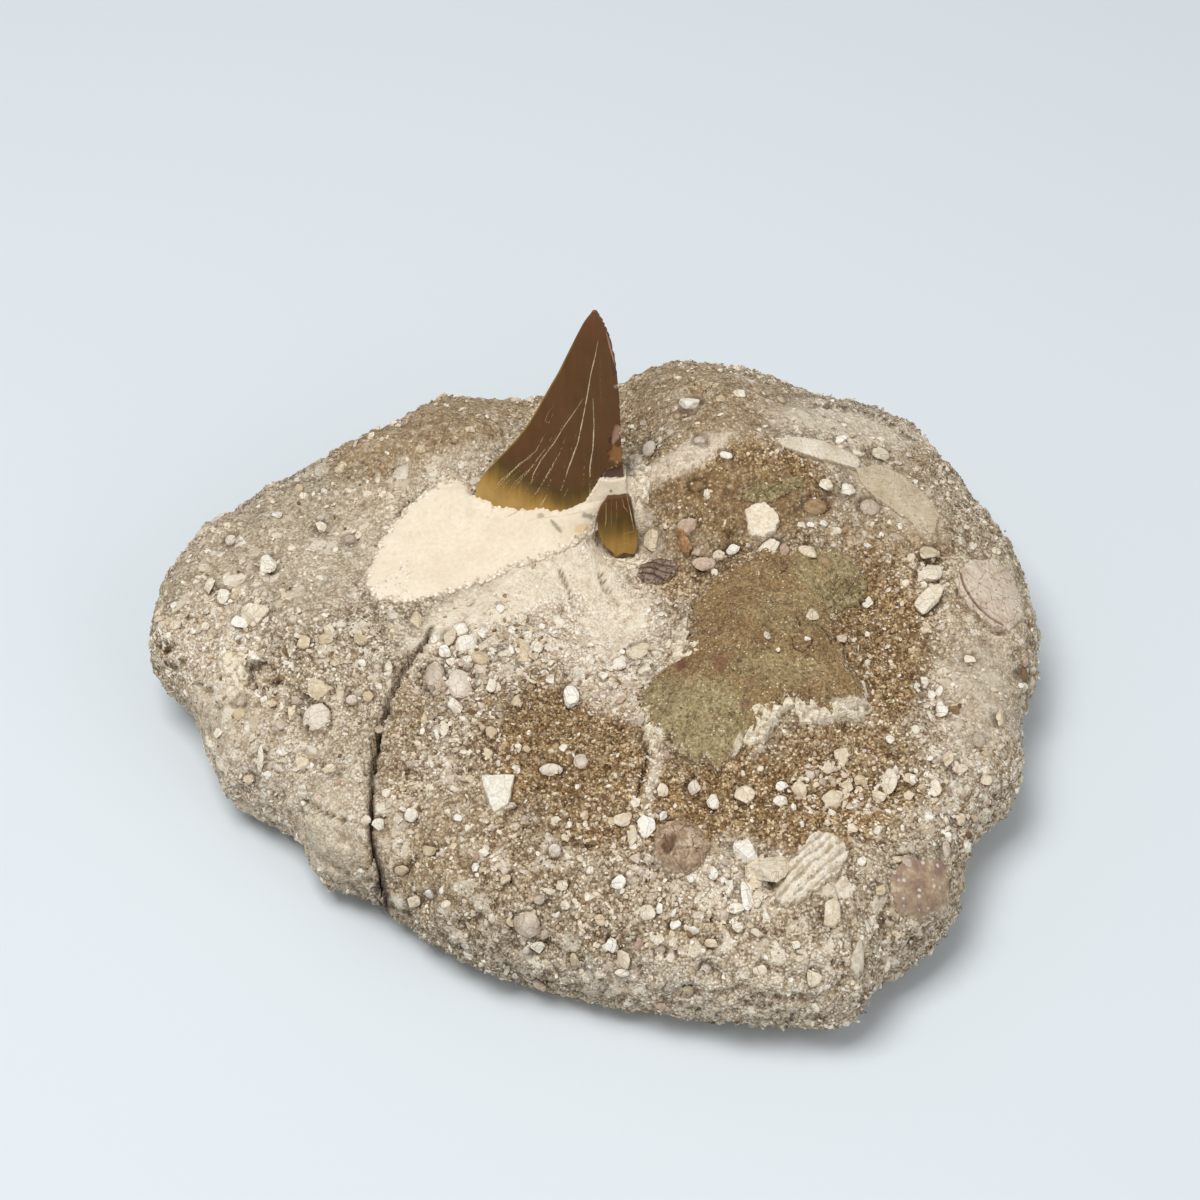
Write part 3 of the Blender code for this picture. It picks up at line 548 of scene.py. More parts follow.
# Chips in the enamel as they are seen: pixel, half-width, half-height, turn, depth and kind.
ENAMEL_CHIPS = (
    ((610, 347), 0.16, 2.9, 14, 0.22, "pink"), ((613, 366), 0.2, 1.7, 6, 0.2, "dark"),
    ((616, 386), 0.45, 0.35, 0, 0.25, "pink"), ((616, 434), 0.6, 1.7, -12, 0.45, "pink"),
    ((613, 441), 0.6, 0.9, 0, 0.5, "dark"), ((617, 454), 1.35, 1.5, 20, 0.5, "clear"),
    ((614, 474), 1.9, 1.05, 6, 0.6, "dark"),
)
CRACK_GROOVE = 0.12
CRACK_THINNING = 0.55

# The corner that was set back in place: its outline as it is seen, and how far it stands in front of the crown.
HEEL_LINE = (
    (604, 503), (608, 498), (617, 497), (626, 496), (631, 502), (634, 517), (637, 535), (638, 545),
    (635, 555), (630, 555), (624, 554), (616, 558), (612, 553), (607, 549), (601, 541), (598, 532),
    (597, 518), (600, 508),
)
HEEL_STEP = 1.5
# How far the ground keeps behind the heel's front, and how far in front of it ground is still drawn back.
HEEL_GAP = 0.45
HEEL_DEPTH = 9
HEEL_CRACKS = (
    (((606, 502), (606, 520), (605, 527)), 0.16, 0.9), (((612, 499), (611, 515), (612, 530)), 0.08, 0.4),
    (((616, 498), (617, 512), (616, 522)), 0.08, 0.35), (((622, 498), (624, 507), (628, 512)), 0.12, 0.8),
    (((627, 497), (630, 510), (632, 520), (634, 530)), 0.16, 0.9),
    (((624, 534), (630, 532), (637, 531)), 0.1, 0.5), (((618, 545), (626, 543), (634, 546)), 0.1, 0.5),
)
# The putty between the crown and that corner, as it is seen.
BRIDGE_LINE = (
    (596, 486), (600, 479), (606, 480), (614, 480), (626, 479), (627, 488), (628, 499), (618, 499),
    (608, 501), (603, 510), (600, 528), (596, 532), (588, 520), (584, 506), (588, 498),
)
BRIDGE_STEP = 0.55


def crown_edges(height):
    """The left and the right edge of the crown before it broke, at an array of heights."""
    table = np.array(CROWN_EDGES)
    step = 0.1
    fine = np.arange(table[0, 0], table[-1, 0] + step, step)
    shifts = np.arange(-12, 13)
    weights = np.exp(-0.5 * (shifts / 5) ** 2)
    weights /= weights.sum()
    found = []
    for column in (1, 2):
        plain = np.interp(fine, table[:, 0], table[:, column])
        padded = np.pad(plain, len(shifts) // 2, mode="edge")
        smooth = np.convolve(padded, weights, mode="valid")
        found.append(np.interp(height, fine, smooth))
    return found


def lens_depths(across, height):
    """How far behind the tooth's face its front and its back lie: less than nothing is in front."""
    left, right = crown_edges(height)
    half = np.maximum((right - left) / 2, 0.02)
    share = np.clip((across - (left + right) / 2) / half, -1, 1)
    bulge = THICKNESS_SCALE * half**THICKNESS_POWER * (1 - share**2)
    return -FRONT_SHARE * bulge - BLUNT / 2, BACK_SHARE * bulge + BLUNT / 2


def on_face(pixels, step=0.0):
    """Where some pixels of the picture lie on the tooth's front: across its face and up it."""
    places = []
    for px, py in pixels:
        ray = picture_ray(px, py)
        depth = -step
        for _ in range(4):
            plane = TOOTH_FOOT - FACE_OUT * depth
            distance = (plane - CAMERA_PLACE).dot(FACE_OUT) / ray.dot(FACE_OUT)
            spot = CAMERA_PLACE + ray * distance - TOOTH_FOOT
            depth = float(lens_depths(spot.x, spot.dot(FACE_UP))[0]) - step
        places.append((spot.x, spot.dot(FACE_UP)))
    return places


def face_points(across, height, depth):
    """Points in space from their places on the tooth's face and their depths behind it."""
    foot, up, out = (np.array(vector) for vector in (TOOTH_FOOT, FACE_UP, FACE_OUT))
    aside = np.array((1.0, 0, 0))
    return foot + across[..., None] * aside + height[..., None] * up - depth[..., None] * out


def enamel_marks(across, height, cracks, chips, step=0.0):
    """The cracks and chips at places on the enamel: how deep they go, and a value for each kind of mark."""
    places = np.stack([across, height], -1)
    marks = {"crack": np.zeros(across.shape)}
    depth = np.zeros(across.shape)
    for pixels, width, pale in cracks:
        path = on_face(pixels, step)
        distance, along = distance_to_path(places, path)
        ends = smooth_step(0, 1.2, along) * smooth_step(len(path) - 1, len(path) - 2.2, along)
        flicker = 0.85 + 0.3 * np.sin(3.1 * along + 4 * width) * np.sin(7.7 * along)
        thin = CRACK_THINNING * width * (0.5 + 0.5 * ends) * flicker
        near = smooth_step(1.0, 0.35, distance / thin) * (0.55 + 0.45 * ends)
        marks["crack"] = np.maximum(marks["crack"], pale * near)
        depth = np.maximum(depth, CRACK_GROOVE * pale * near)
    for kind in ("pink", "dark", "clear"):
        marks[kind] = np.zeros(across.shape)
    for pixel, half_x, half_y, turn, deep, kind in chips:
        middle = on_face([pixel], step)[0]
        away = ellipse_share(across, height, *middle, half_x, half_y, turn)
        bearing = np.arctan2(height - middle[1], across - middle[0])
        away = away * (1 + 0.12 * np.sin(7 * bearing + half_x * 40))
        inside = smooth_step(1.15, 0.9, away)
        marks[kind] = np.maximum(marks[kind], inside)
        depth = np.maximum(depth, deep * inside)
    return depth, marks


def tube(columns, rows):
    """An upright tube with capped ends, one unit high."""
    bm = bmesh.new()
    bmesh.ops.create_cone(bm, cap_ends=True, segments=columns, radius1=1, radius2=1, depth=1)
    sides = [edge for edge in bm.edges if abs(edge.verts[0].co.z - edge.verts[1].co.z) > 0.5]
    bmesh.ops.subdivide_edges(bm, edges=sides, cuts=rows - 1, use_grid_fill=True)
    return bm


def joined(parts):
    """One mesh from several, with their vertices in order."""
    whole = bmesh.new()
    for part in parts:
        spare = bpy.data.meshes.new("part")
        part.to_mesh(spare)
        part.free()
        whole.from_mesh(spare)
        bpy.data.meshes.remove(spare)
    return whole


def move_to(bm, points):
    """Give every vertex its place."""
    for vert, point in zip(bm.verts, points):
        vert.co = point


def make_crown(enamel):
    """The crown: a lens in section, broken off at its lower right, its enamel cracked and chipped."""
    columns = FRONT_COLUMNS + BACK_COLUMNS + 2 * EDGE_COLUMNS
    bm = tube(columns, CROWN_ROWS)
    places = np.array([vert.co for vert in bm.verts])
    turn = np.arctan2(places[:, 1], places[:, 0]) / (2 * math.pi) * columns
    column = np.round(turn - turn[0]).astype(int) % columns
    height = CROWN_FOOT + (CROWN_TIP - CROWN_FOOT) * (places[:, 2] + 0.5)
    left, right = crown_edges(height)
    heights, ends = np.array(BREAK_END).T
    rough = np.interp(height, *rough_line(CROWN_FOOT, CROWN_TIP, 0.1, 5))
    end = np.minimum(right, np.interp(height, heights, ends) + 2.5 * rough)
    end = end + 0.4 * rough
    for level, half, deep in NICKS:
        end = end - deep * smooth_step(1, 0, np.abs(height - level) / half)
    end = np.maximum(end, left + 0.05)
    stops = np.cumsum([0, FRONT_COLUMNS, EDGE_COLUMNS, BACK_COLUMNS, EDGE_COLUMNS])
    share = np.interp(column, stops, (0, 1, 1, 0, 0))
    behind = np.interp(column, stops, (0, 0, 1, 1, 0))
    across = left + (end - left) * share
    front, back = lens_depths(across, height)
    deep, marks = enamel_marks(across, height, ENAMEL_CRACKS, ENAMEL_CHIPS)
    deep = np.minimum(deep, 0.45 * (back - front)) * (behind < 0.01)
    points = face_points(across, height, front + (back - front) * behind + deep)
    points[:, 1] += 0.03 * noise_at(points * np.array((1, 0.4, 0.4)), 1.6, 2.0)
    move_to(bm, points)
    bmesh.ops.recalc_face_normals(bm, faces=bm.faces)
    foot_across, foot_height = np.array(FOOT_LINE).T
    above = height - np.interp(across, foot_across, foot_height)
    weight = np.interp(across, (-12, -5, 4), (1.35, 1.1, 0.5))
    reach = np.interp(across, (-12, -5, 4), (12.0, 7.2, 4.4))
    wave = 0.7 * noise_at(points, 3.0, 17.0)
    base = weight * np.clip(1 - (above + wave) / reach, 0, 1) ** 1.25
    rim = 0.6 * smooth_step(0.45, 0.1, across - left) * smooth_step(36, 25, height)
    marks = {kind: value * (behind < 0.6) for kind, value in marks.items()}
    marks["amber"] = np.maximum(base, rim)
    marks["tip"] = smooth_step(27, 33, height)
    marks["face"] = np.stack([across, height, behind], -1) * MM
    keep("tooth_crown_enamel", bm, enamel, "tooth_crown", marks)


def rough_line(start, end, step, seed):
    """A line of small random steps, smoothed a little: its places and its values, about -0.1 to 0.1."""
    places = np.arange(start, end, step)
    values = np.random.default_rng(seed).normal(0, 0.12, len(places))
    values = np.convolve(values, (0.15, 0.2, 0.3, 0.2, 0.15), mode="same")
    return places, values


def polar_disc(rings, sides):
    """A closed disc: the mesh, and each vertex's share of the way out and its bearing.

    It starts as a tube, whose top ring is drawn together in the middle. The bottom ring is its rim.
    """
    bm = tube(sides, rings)
    middle = [vert for vert in bm.verts if vert.co.z > 0.5 - 0.25 / rings]
    bmesh.ops.pointmerge(bm, verts=middle, merge_co=(0, 0, 0.5))
    places = np.array([vert.co for vert in bm.verts])
    return bm, 0.5 - places[:, 2], np.arctan2(places[:, 1], places[:, 0])


def outline_reach(outline, bearing):
    """How far a closed outline reaches from its middle at an array of bearings."""
    starts = np.array(outline)
    return farthest_line(starts, np.roll(starts, -1, 0) - starts, bearing, 1e-6)


def farthest_line(starts, steps, bearing, slack=0.0):
    """How far out the farthest of some lines is met at an array of bearings, or 0 where none is."""
    reach = np.zeros(bearing.shape)
    aim = np.stack([np.cos(bearing), np.sin(bearing)], -1)
    for start, step in zip(starts, steps):
        cross = aim[..., 0] * step[1] - aim[..., 1] * step[0]
        cross = np.where(np.abs(cross) < 1e-9, 1e-9, cross)
        far = (start[0] * step[1] - start[1] * step[0]) / cross
        share = (start[0] * aim[..., 1] - start[1] * aim[..., 0]) / cross
        met = (share >= -slack) & (share <= 1 + slack) & (far > 0)
        reach = np.maximum(reach, np.where(met, far, 0))
    return reach


# The share of the way out at which a slab's edge turns down.
SKIRT = 0.95


def disc_on_face(pixels, step, rings, sides, ragged, back):
    """A slab on the tooth's face from its outline as it is seen: (mesh, across, height, place out, depth)."""
    outline = np.array(on_face(pixels, step))
    middle = outline.mean(0)
    bm, share, bearing = polar_disc(rings, sides)
    reach = outline_reach(outline - middle, bearing)
    turn = flat_points(np.cos(bearing), np.sin(bearing))
    reach = reach + ragged * noise_at(turn * 4, 0.5, step + rings)
    out = np.minimum(share / SKIRT, 1)
    across = middle[0] + reach * out * np.cos(bearing)
    height = middle[1] + reach * out * np.sin(bearing)
    front = lens_depths(across, height)[0] - step
    inward = reach * (1 - out)
    rounding = 0.35
    front = front + rounding * (1 - np.sqrt(1 - (1 - np.minimum(inward / rounding, 1)) ** 2))
    drop = np.maximum(share - SKIRT, 0) / (1 - SKIRT)
    depth = front + (back - front) * drop
    return bm, across, height, out, depth


def make_heel(enamel):
    """The broken corner of the crown, dark above and amber below."""
    bm, across, height, out, depth = disc_on_face(HEEL_LINE, HEEL_STEP, 90, 300, 0.12, 2.5)
    deep, marks = enamel_marks(across, height, HEEL_CRACKS, (), HEEL_STEP)
    move_to(bm, face_points(across, height, depth + deep * (out < 1)))
    bmesh.ops.recalc_face_normals(bm, faces=bm.faces)
    wave = 0.8 * noise_at(flat_points(across, height * 0.3), 1.2, 3.0)
    marks["amber"] = 0.9 * smooth_step(2.0, -9.0, height + wave)
    marks["tip"] = 0 * height
    marks["face"] = flat_points(across, height) * MM
    keep("crown_heel_enamel", bm, enamel, "crown_heel", marks)


# What is set in the lump

# How deep a draped piece goes into the rock, and how far over it the ground is looked for.
SKIRT_DEPTH = 1.4
SEEN_FROM = 15.0


def seat_on(tree, x, y, spread=2.0):
    """A frame on the ground at a point: its Z axis stands on the ground, its X axis runs to the right."""
    place, normal = tree.ray_cast(Vector((x, y, RAY_START)), Vector((0, 0, -1)))[:2]
    for turn in range(8):
        aside = Vector((math.cos(turn * math.pi / 4), math.sin(turn * math.pi / 4), 0)) * spread
        nearby = tree.ray_cast(Vector((x, y, RAY_START)) + aside, Vector((0, 0, -1)))[1]
        normal = normal + nearby if nearby else normal
    return frame_on(place, normal)


def frame_on(place, normal):
    """A frame at a place with its Z axis along a normal and its X axis to the right."""
    normal = normal.normalized()
    right = (Vector((1, 0, 0)) - normal * normal.x).normalized()
    seat = Matrix((right, normal.cross(right), normal)).transposed().to_4x4()
    seat.translation = place
    return seat


def node_reach(name, seat, bearing):
    """How far a node's solid reaches from its seat at an array of bearings."""
    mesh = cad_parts[name].data
    inverse = seat.inverted()
    flat = np.array([(inverse @ (vert.co / MM)).xy for vert in mesh.vertices])
    ends = np.array([edge.vertices[:] for edge in mesh.edges])
    return farthest_line(flat[ends[:, 0]], flat[ends[:, 1]] - flat[ends[:, 0]], bearing)


def heights_on(tree, seat, x, y):
    """The ground's height over the points of a seat's frame."""
    normal = seat.col[2].to_3d()
    heights = np.zeros(x.shape)
    for index, (local_x, local_y) in enumerate(zip(x, y)):
        start = seat @ Vector((local_x, local_y, SEEN_FROM))
        distance = tree.ray_cast(start, -normal, 2 * SEEN_FROM)[3]
        heights[index] = SEEN_FROM - distance if distance is not None else 0
    return heights


def draped(tree, seat, reach_of, rings, sides, proud, rounding, ragged, seed):
    """A piece laid over the ground, rounded at its edge and going down into the rock.

    Returns its mesh and its arrays by name: x, y, ground (the height under it), height (over that ground),
    inward (distance from its edge), drop (share of the way down its skirt) and edge (1 but at its rounding).
    """
    bm, share, bearing = polar_disc(rings, sides)
    circle = np.linspace(-math.pi, math.pi, 721)
    reach = np.interp(bearing, circle, reach_of(circle))
    turn = flat_points(np.cos(bearing), np.sin(bearing))
    steps = noise_at(turn * reach[:, None], 1.6, seed) + 0.5 * noise_at(turn * reach[:, None], 0.6, seed + 5)
    reach = reach + ragged * steps
    out = np.minimum(share / SKIRT, 1)
    drop = np.maximum(share - SKIRT, 0) / (1 - SKIRT)
    x = reach * out * np.cos(bearing)
    y = reach * out * np.sin(bearing)
    inward = reach * (1 - out)
    edge = np.sqrt(1 - (1 - np.minimum(inward / rounding, 1)) ** 2)
    height = proud * edge - SKIRT_DEPTH * drop
    ground = heights_on(tree, seat, x, y)
    parts = {"x": x, "y": y, "ground": ground, "height": height, "inward": inward, "drop": drop, "edge": edge}
    return bm, parts


def in_space(seat, x, y, level):
    """Points in space from their places in a seat's frame."""
    return (np.stack([x, y, level, np.ones(x.shape)], -1) @ np.array(seat).T)[:, :3]


def settle(bm, seat, parts, relief):
    """Set a draped piece's vertices over the ground with its relief, and return their places."""
    level = parts["ground"] + parts["height"] + relief * parts["edge"] * (parts["drop"] == 0)
    points = in_space(seat, parts["x"], parts["y"], level)
    move_to(bm, points)
    bmesh.ops.recalc_face_normals(bm, faces=bm.faces)
    return points


# Materials

WHITE = (255, 255, 255)
# Tones for a grain's value: of clean, iron-stained and chalky sand, packed in the rock and as loose grains.
SAND_TONES = (
    (
        (0.0, (150, 130, 103)), (0.12, (174, 156, 128)), (0.4, (196, 180, 153)), (0.7, (210, 196, 171)),
        (0.88, (226, 214, 193)), (0.98, (242, 234, 218)),
    ),
    (
        (0.0, (92, 66, 38)), (0.2, (130, 99, 60)), (0.48, (164, 131, 85)), (0.74, (192, 161, 112)),
        (0.9, (214, 190, 146)), (0.98, (240, 226, 196)),
    ),
    ((0.0, (206, 182, 150)), (0.25, (232, 214, 188)), (0.6, (246, 234, 214)), (1.0, (252, 246, 234))),
)
GRAIN_TONES = (
    (
        (0.0, (122, 100, 73)), (0.2, (164, 144, 115)), (0.5, (195, 178, 150)), (0.8, (215, 201, 177)),
        (0.93, (240, 230, 211)), (1.0, (253, 248, 238)),
    ),
    (
        (0.0, (90, 64, 36)), (0.25, (130, 99, 60)), (0.55, (166, 134, 88)), (0.78, (196, 167, 120)),
        (0.9, (222, 200, 158)), (1.0, (248, 236, 210)),
    ),
    ((0.0, (206, 188, 160)), (0.5, (236, 224, 202)), (1.0, (252, 246, 234))),
)
CLAST_TONES = ((0.0, (196, 178, 152)), (0.6, (226, 213, 192)), (1.0, (244, 236, 220)))
# The enamel's tones, from its thick tip to its thin foot.
AMBER_TONES = (
    (0.0, (103, 68, 34)), (0.22, (94, 70, 30)), (0.45, (126, 97, 46)), (0.72, (172, 133, 64)),
    (1.0, (192, 154, 86)),
)


def srgb(colour):
    """A colour given as it looks on a screen, 0 to 255, as the shader wants it."""
    shares = [value / 255 for value in colour]
    return (*(share / 12.92 if share <= 0.04045 else ((share + 0.055) / 1.055) ** 2.4 for share in shares), 1)


class Paint:
    """The node tree of a material or a group. A value is a socket, a number or a colour as on a screen."""

    def __init__(self, tree):
        self.nodes = tree.nodes
        self.links = tree.links

    def give(self, socket, value):
        """Link a socket to an input, or set the input to a number or a colour."""
        if isinstance(value, bpy.types.NodeSocket):
            self.links.new(value, socket)
        else:
            socket.default_value = srgb(value) if socket.type == "RGBA" else value

    def node(self, kind, **values):
        """The outputs of a node with some of its settings and inputs given."""
        made = self.nodes.new("ShaderNode" + kind)
        for name, value in values.items():
            label = name.replace("_", " ").title()
            if label in made.inputs:
                self.give(made.inputs[label], value)
            else:
                setattr(made, name, value)
        return made.outputs

    def use(self, group, vector, **values):
        """The outputs of a group with its inputs given."""
        made = self.nodes.new("ShaderNodeGroup")
        made.node_tree = bpy.data.node_groups[group]
        for label, value in {"Vector": vector, **values}.items():
            self.give(made.inputs[label], value)
        return made.outputs

    def mottle(self, vector, size, detail):
        """Cloudy mottling from 0 to 1."""
        return self.use("mottling", vector, Size=size, Detail=detail)[0]

    def place(self):
        """The piece's own coordinates."""
        return self.node("TexCoord")["Object"]

    def own(self, name):
        """A value stored on the piece's vertices."""
        return self.node("Attribute", attribute_name=name)["Fac"]

    def mix(self, share, first, second, blend="MIX"):
        """Two colours mixed by a share."""
        made = self.nodes.new("ShaderNodeMix")
        made.data_type = "RGBA"
        made.blend_type = blend
        for index, value in ((0, share), (6, first), (7, second)):
            self.give(made.inputs[index], value)
        return made.outputs[2]

    def shade(self, colour, tone, share=1.0):
        """A colour darkened by a tone."""
        return self.mix(share, colour, tone, "MULTIPLY")

    def sum(self, operation, first, second, clamp=False):
        """A sum of two values."""
        made = self.nodes.new("ShaderNodeMath")
        made.operation = operation
        made.use_clamp = clamp
        for socket, value in zip(made.inputs, (first, second)):
            self.give(socket, value)
        return made.outputs[0]

    def plus(self, first, second):
        return self.sum("ADD", first, second)

    def less(self, first, second, clamp=False):
        return self.sum("SUBTRACT", first, second, clamp)

    def times(self, first, second):
        return self.sum("MULTIPLY", first, second)

    def span(self, value, low, high, top=1.0, bottom=0.0):
        """A value drawn out from between low and high to between bottom and top."""
        return self.node("MapRange", Value=value, From_Min=low, From_Max=high, To_Min=bottom, To_Max=top)[0]

    def ramp(self, value, stops):
        """A colour for a value, from stops that are each a place and a colour."""
        made = self.nodes.new("ShaderNodeValToRGB")
        elements = made.color_ramp.elements
        elements.remove(elements[-1])
        for index, (position, colour) in enumerate(stops):
            element = elements.new(position) if index else elements[0]
            element.position = position
            element.color = srgb(colour)
        self.links.new(value, made.inputs[0])
        return made.outputs[0]

    def dusted(self, colour, sand, fine, low, high, most):
        """A colour with sand clinging along a ragged edge, where the piece's value dust is high."""
        return self.mix(self.span(self.plus(self.own("dust"), fine), low, high, most), colour, sand)

    def finish(self, colour, height, distance, strength):
        """Give the shader its colour, and relief too fine for the mesh, its height in millimetres."""
        self.give(self.shader.inputs["Base Color"], colour)
        bump = self.node("Bump", Strength=strength, Distance=distance * MM, Height=height)
        self.links.new(bump[0], self.shader.inputs["Normal"])
        return self.material


def new_material(name, roughness):
    """The paint of a new material with a plain Principled shader."""
    material = bpy.data.materials.new(name)
    material.use_nodes = True
    paint = Paint(material.node_tree)
    paint.material = material
    paint.shader = paint.nodes["Principled BSDF"]
    paint.shader.inputs["Roughness"].default_value = roughness
    return paint


def new_group(name, numbers, outputs):
    """A node group that takes a vector and some numbers: its paint, what it is given and what it gives."""
    group = bpy.data.node_groups.new(name, "ShaderNodeTree")
    group.interface.new_socket("Vector", in_out="INPUT", socket_type="NodeSocketVector")
    for label, value in numbers.items():
        socket = group.interface.new_socket(label, in_out="INPUT", socket_type="NodeSocketFloat")
        socket.default_value = value
    for label in outputs:
        kind = "NodeSocketColor" if label == "Color" else "NodeSocketFloat"
        group.interface.new_socket(label, in_out="OUTPUT", socket_type=kind)
    given = group.nodes.new("NodeGroupInput").outputs
    return Paint(group), given, group.nodes.new("NodeGroupOutput").inputs


def sand_group():
    """Packed sand grains: a colour each, clean to iron-stained, with painted shade in the gaps, and their
    height.
    """
    numbers = {"Grain": 0.55, "Stain": 0.0, "Cream": 0.0}
    paint, given, out = new_group("sand_grains", numbers, ("Color", "Height"))
    scale = paint.sum("DIVIDE", 1 / MM, given["Grain"])
    cells = paint.node("TexVoronoi", feature="F1", Vector=given["Vector"], Scale=scale)
    grain = paint.node("SeparateColor", Color=cells["Color"])[0]
    clean, stained, creamy = (paint.ramp(grain, stops) for stops in SAND_TONES)
    colour = paint.mix(given["Stain"], clean, stained)
    colour = paint.mix(given["Cream"], colour, creamy)
    # Painted shade: the gaps between the grains are darkened, less where the sand is chalky.
    dark = paint.less(0.8, paint.times(given["Cream"], 0.2))
    gap = paint.times(paint.span(cells["Distance"], 0.35, 0.75), dark)
    paint.give(out["Color"], paint.shade(colour, (126, 98, 66), gap))
    paint.give(out["Height"], paint.less(1.0, cells["Distance"]))


def weathering_group():
    """Slow changes of tone, as a grey to multiply a colour by."""
    paint, given, out = new_group("weathered_tone", {"Depth": 0.2}, ("Color",))
    total = 0.0
    for size, share in ((26.0, 0.5), (6.0, 0.3), (1.6, 0.2)):
        cloud = paint.node("TexNoise", Vector=given["Vector"], Scale=1000 / size, Detail=2.0)["Fac"]
        total = paint.plus(total, paint.times(cloud, share))
    tone = paint.plus(paint.times(paint.span(total, 0.35, 0.65, 1.0, -1.0), given["Depth"]), 1.0)
    paint.give(out["Color"], paint.node("CombineColor", Red=tone, Green=tone, Blue=tone)[0])


def mottle_group():
    """Cloudy mottling of a size in millimetres, its contrast drawn out to 0 and 1."""
    paint, given, out = new_group("mottling", {"Size": 2.0, "Detail": 4.0}, ("Value",))
    scale = paint.sum("DIVIDE", 1 / MM, given["Size"])
    cloud = paint.node("TexNoise", Roughness=0.6, Vector=given["Vector"], Scale=scale, Detail=given["Detail"])
    paint.give(out["Value"], paint.span(cloud["Fac"], 0.3, 0.7))


def speck_group():
    """Scattered specks of a size in millimetres: 1 on a speck, over a share of the surface."""
    paint, given, out = new_group("specks", {"Size": 0.4, "Share": 0.15}, ("Value",))
    scale = paint.sum("DIVIDE", 1 / MM, given["Size"])
    cells = paint.node("TexVoronoi", feature="F1", Vector=given["Vector"], Scale=scale)
    chosen = paint.sum("LESS_THAN", paint.node("SeparateColor", Color=cells["Color"])[0], given["Share"])
    paint.give(out["Value"], paint.times(chosen, paint.span(cells["Distance"], 0.5, 0.3)))


def clast_group():
    """Angular clasts of a size in millimetres: 1 on a clast, over a share of the surface, and their tones."""
    paint, given, out = new_group("angular_clasts", {"Size": 2.0, "Share": 0.12}, ("Value", "Tone"))
    scale = paint.sum("DIVIDE", 1 / MM, given["Size"])
    cells = paint.node("TexVoronoi", feature="F1", Vector=given["Vector"], Scale=scale)
    edges = paint.node("TexVoronoi", feature="DISTANCE_TO_EDGE", Vector=given["Vector"], Scale=scale)
    parts = paint.node("SeparateColor", Color=cells["Color"])
    chosen = paint.sum("LESS_THAN", parts[0], given["Share"])
    paint.give(out["Value"], paint.times(chosen, paint.span(edges["Distance"], 0.04, 0.1)))
    paint.give(out["Tone"], parts[1])


def crackle_group():
    """A net of fine cracks of a size in millimetres: 1 along a crack."""
    paint, given, out = new_group("crackle", {"Size": 3.0, "Width": 0.05}, ("Value",))
    scale = paint.sum("DIVIDE", 1 / MM, given["Size"])
    bend = paint.node("TexNoise", Detail=2.0, Vector=given["Vector"], Scale=scale)["Color"]
    push = paint.node("VectorMath", operation="SCALE", Vector=bend, Scale=0.0016)[0]
    moved = paint.nodes.new("ShaderNodeVectorMath")
    paint.give(moved.inputs[0], given["Vector"])
    paint.give(moved.inputs[1], push)
    cells = paint.node("TexVoronoi", feature="DISTANCE_TO_EDGE", Vector=moved.outputs[0], Scale=scale)
    paint.give(out["Value"], paint.span(cells["Distance"], 0.0, given["Width"], 0.0, 1.0))


def sandstone_material():
    """The lump: packed phosphate sand, stained brown in places and chalky in others."""
    paint = new_material("phosphate_sand", 0.95)
    vector = paint.place()
    stain = paint.own("stain")
    cream = paint.own("cream")
    fine = paint.use("sand_grains", vector, Grain=0.42, Stain=stain, Cream=cream)
    coarse = paint.use("sand_grains", vector, Grain=0.95, Stain=stain, Cream=cream)
    blotch = paint.node("TexNoise", Vector=vector, Scale=700.0, Detail=1.0)["Fac"]
    colour = paint.mix(paint.span(blotch, 0.56, 0.62), fine["Color"], coarse["Color"])
    even = paint.mix(stain, (186, 170, 144), (150, 120, 78))
    colour = paint.mix(paint.times(paint.own("fine"), 0.5), colour, even)
    for size, share in ((2.6, 0.12), (1.3, 0.14)):
        chips = paint.use("angular_clasts", vector, Size=size, Share=share)
        tones = paint.ramp(chips["Tone"], CLAST_TONES)
        shown = paint.times(paint.less(0.85, stain, True), chips["Value"])
        colour = paint.mix(shown, colour, tones)
    cloud = paint.mottle(vector, 2.6, 5.0)
    smooth = paint.mix(cloud, (176, 160, 134), (206, 191, 166))
    smooth = paint.mix(stain, smooth, paint.mix(cloud, (98, 74, 44), (136, 108, 68)))
    smooth = paint.mix(cream, smooth, paint.mix(cloud, (222, 205, 177), (244, 232, 211)))
    colour = paint.mix(paint.times(paint.own("smear"), 0.8), colour, smooth)
    depth = paint.less(0.22, paint.times(cream, 0.16))
    colour = paint.shade(colour, paint.use("weathered_tone", vector, Depth=depth)[0])
    # Painted shade in the ground's hollows, mixed with mottled dirt.
    shade_and_dirt = paint.plus(paint.own("shaded_hollow"), paint.mottle(vector, 0.8, 4.0))
    clean = paint.less(1.0, paint.times(cream, 0.3))
    colour = paint.shade(colour, (140, 108, 74), paint.times(paint.span(shade_and_dirt, 0.95, 1.7, 0.68), clean))
    # Painted highlight where the ground stands above its surroundings, with mottled paler patches.
    colour = paint.mix(paint.span(shade_and_dirt, 0.85, 0.25, 0.3), colour, (236, 226, 206))
    # Painted shade in the crack, the creases and the gaps round the larger stones.
    colour = paint.shade(colour, (96, 74, 52), paint.own("crevice_shade"))
    return paint.finish(colour, fine["Height"], 0.2, 0.8)


